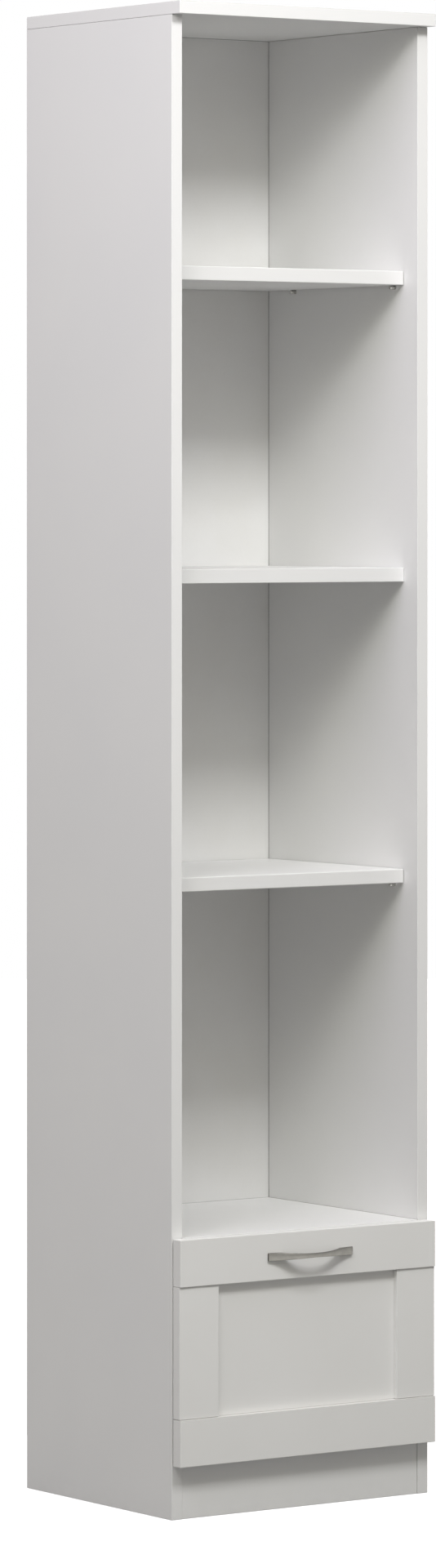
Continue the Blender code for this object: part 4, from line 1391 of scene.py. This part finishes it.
def make_member(member, hand, web_side, curl):
    """A runner member; web_side says whether its web is at the node's lowest or highest X."""
    node_name = f"runner_{member}_{hand}"
    low, high = corners(node_name)
    points, outward = web_points(node_name, web_side)
    mesh = channel_skin(node_name, low, high, web_side, (high - low)[2] / 2, STRIP_T, BEND, curl)
    holes = [countersink(point, outward, **RUNNER_SCREW, length=2 * STRIP_T) for point in points]
    mesh = cut_out(mesh, holes)
    stand_in(node_name, mesh)
    if member in RUNNER_SCREW_LENGTH:
        size = {**RUNNER_SCREW, "length": RUNNER_SCREW_LENGTH[member], "cross": RUNNER_SCREW_CROSS}
        screws = merged("screws", [sunk_screw(point, outward, **size) for point in points])
        piece(f"runner_{member}_screws_{hand}", screws, body_of(node_name), "bright_zinc")


for index, hand in enumerate(HANDS):
    make_member("outer", hand, index, LIP_CURL)
    make_member("middle", hand, index, LIP_CURL)
    make_member("inner", hand, 1 - index, 0.0)
print("members:", 3 * len(HANDS))

# %% [markdown]
# ## Ball cages
#
# Between two members runs a strip of thin steel that keeps eight balls at their distance. It is the same
# channel with a smaller bend, and the balls are turned from half a circle.

# %% Make the ball cages
CAGE_T = 0.0006
CAGE_BEND = 0.0009
BALL_R = 0.00175
BALL_ROWS = 4


def ball(place):
    """A steel ball: radius (sin a, cos a) for a from 0 to half a turn, swept round."""
    a = np.linspace(0.0, np.pi, 11)
    profile = np.stack([BALL_R * np.sin(a), -BALL_R * np.cos(a)], axis=-1)
    return turned_skin("ball", profile, place, (0, 0, 1), 20)


def make_cage(node_name, web_side):
    """A cage in the place of its node, with its balls centred in both flanges."""
    low, high = corners(node_name)
    web, lip = web_and_lip(low, high, web_side)
    middle = (low + high) / 2
    flange = (high - low)[2] / 2 - BALL_R
    parts = [channel_skin("strip", low, high, web_side, flange + CAGE_T / 2, CAGE_T, CAGE_BEND, 0.0)]
    depths = low[1] + (high - low)[1] * (np.arange(BALL_ROWS) + 0.5) / BALL_ROWS
    for depth in depths:
        for level in (-flange, flange):
            parts.append(ball((lip - np.sign(lip - web) * BALL_R, depth, middle[2] + level)))
    stand_in(node_name, merged(node_name, parts))


for index, hand in enumerate(HANDS):
    make_cage("ball_cage_outer_" + hand, index)
    make_cage("ball_cage_inner_" + hand, index)
print("balls:", 2 * len(HANDS) * 2 * BALL_ROWS)

# %% [markdown]
# ## Background
#
# The bookcase was photographed on seamless white. A camera, and anything shiny, sees white wherever it
# looks past the furniture; everything matt is lit by a softer room, so that the background adds no light
# to the object. One world can be both, because a shader can ask what kind of ray has reached it.

# %% Background
ROOM_LIGHT = 0.355
ROOM_TINT = (1.0, 0.97, 0.885)


def seen_directly(tree):
    """1 for rays from the camera, and for mirrored and transmitted ones, so metal shows the same white."""
    path = node(tree, "LightPath", {}).outputs
    seen = calculate(tree, "MAXIMUM", path["Is Camera Ray"], path["Is Glossy Ray"])
    return calculate(tree, "MAXIMUM", seen, path["Is Transmission Ray"])


def set_up_world():
    """White for the eye, a weaker and slightly tinted light for matt surfaces."""
    world = bpy.data.worlds.new("studio")
    bpy.context.scene.world = world
    world.use_nodes = True
    tree = world.node_tree
    tree.nodes.clear()
    room = node(tree, "Background", {"Color": (*ROOM_TINT, 1.0), "Strength": ROOM_LIGHT}).outputs[0]
    white = node(tree, "Background", {"Color": (1.0, 1.0, 1.0, 1.0), "Strength": 1.0}).outputs[0]
    mixed = node(tree, "MixShader", {0: seen_directly(tree), 1: room, 2: white}).outputs[0]
    node(tree, "OutputWorld", {"Surface": mixed})


set_up_world()
print("room light:", ROOM_LIGHT)

# %% [markdown]
# ## Floor
#
# The floor is grey to the light that it passes on. To the camera it is nearly white round the foot, where the
# bookcase can still shade it, and runs into the background further out: a glow that grows with the distance
# does that without any lamp of its own.

# %% Floor
FLOOR_RADIUS = 9.0
FLOOR_DROP = 0.0004
FLOOR_GREY = 0.16
FLOOR_SEEN = 0.80
FLOOR_GLOW = (0.62, 1.0)
FLOOR_FADE = (0.5, 1.6)


def floor_finish():
    """Pale matt floor: grey to the light, nearly white to the eye."""
    material, tree, shader, coordinates = new_finish("floor")
    tree.nodes.remove(shader)
    passed_on = node(tree, "BsdfDiffuse", {"Color": grey(FLOOR_GREY)}).outputs[0]
    shown = node(tree, "BsdfDiffuse", {"Color": grey(FLOOR_SEEN)}).outputs[0]
    distance = node(tree, "VectorMath", {0: coordinates}, operation="LENGTH").outputs["Value"]
    strength = spread(tree, distance, *FLOOR_FADE, *FLOOR_GLOW)
    glow = node(tree, "Emission", {"Color": grey(1.0), "Strength": strength}).outputs[0]
    bright = node(tree, "AddShader", {0: shown, 1: glow}).outputs[0]
    mixed = node(tree, "MixShader", {0: seen_directly(tree), 1: passed_on, 2: bright}).outputs[0]
    feed(tree, tree.nodes["Material Output"], {"Surface": mixed})
    return material


def make_floor():
    """A round floor: points at radius times (cos t, sin t), just under the feet."""
    t = np.linspace(0.0, 2.0 * np.pi, 96, endpoint=False)
    level = np.full_like(t, -FLOOR_DROP)
    rim = np.stack([FLOOR_RADIUS * np.cos(t), FLOOR_RADIUS * np.sin(t), level], axis=-1)
    mesh = bpy.data.meshes.new("floor")
    mesh.from_pydata(rim, [], [list(range(len(t)))])
    mesh.materials.append(floor_finish())
    floor = bpy.data.objects.new("floor", mesh)
    bpy.context.scene.collection.objects.link(floor)


make_floor()
print("floor, m across:", 2 * FLOOR_RADIUS)

# %% [markdown]
# ## Lamps
#
# The main lamp is a square soft box that hangs level in front of the bookcase, well above it, and shines
# straight down: that is what draws the slanted shadow edge across the inner wall of each compartment, and
# its depth is what makes that edge soft. A second one, far round to the left, fills those shadows. Two
# cool ones are there for the side: a high one that keeps it bright towards the top, and a weak low one. The
# last one stands behind, for whoever walks round: it shows the back and the far side.

# %% Lamps
# place, what it looks at, size in metres, power in watts, tint
LAMPS = {
    "main_lamp": ((-0.22, -2.02, 3.03), (-0.22, -2.02, 0.0), 0.9, 65.0, (1.0, 1.0, 1.0)),
    "corner_lamp": ((-2.35, -2.20, 3.10), (0.0, 0.0, 1.30), 1.5, 28.0, (1.0, 1.0, 0.87)),
    "side_lamp": ((-1.80, -0.80, 2.90), (0.0, 0.0, 1.40), 1.2, 23.5, (0.91, 0.87, 1.0)),
    "low_lamp": ((-2.40, 0.50, 0.80), (-0.20, 0.0, 0.60), 1.2, 2.6, (0.95, 0.92, 1.0)),
    "rear_lamp": ((1.60, 3.00, 2.60), (0.0, 0.0, 0.90), 1.5, 30.0, (1.0, 1.0, 1.0)),
}


def add_lamp(name, place, aim, size, power, tint):
    """A square soft box that looks from its place towards a point."""
    data = bpy.data.lights.new(name, "AREA")
    data.shape = "SQUARE"
    data.size = size
    data.energy = power
    data.color = tint
    lamp = bpy.data.objects.new(name, data)
    lamp.matrix_world = looking(place, aim)
    lamp.visible_camera = False
    bpy.context.scene.collection.objects.link(lamp)


def looking(place, aim):
    """The matrix of something at a place that looks along its own -Z towards a point."""
    first, second, back = axes_along(np.subtract(place, aim))
    turn = np.eye(4)
    turn[:3, 0], turn[:3, 1], turn[:3, 2], turn[:3, 3] = first, second, back, place
    return Matrix(turn.tolist())


for lamp_name, settings in LAMPS.items():
    add_lamp(lamp_name, *settings)
print("lamps:", ", ".join(LAMPS))

# %% [markdown]
# ## Sizes
#
# Each finished piece is built from the corners of the node that it stands for. The last line brings the
# scene up to date.

# %% The last lines
bpy.context.view_layer.update()
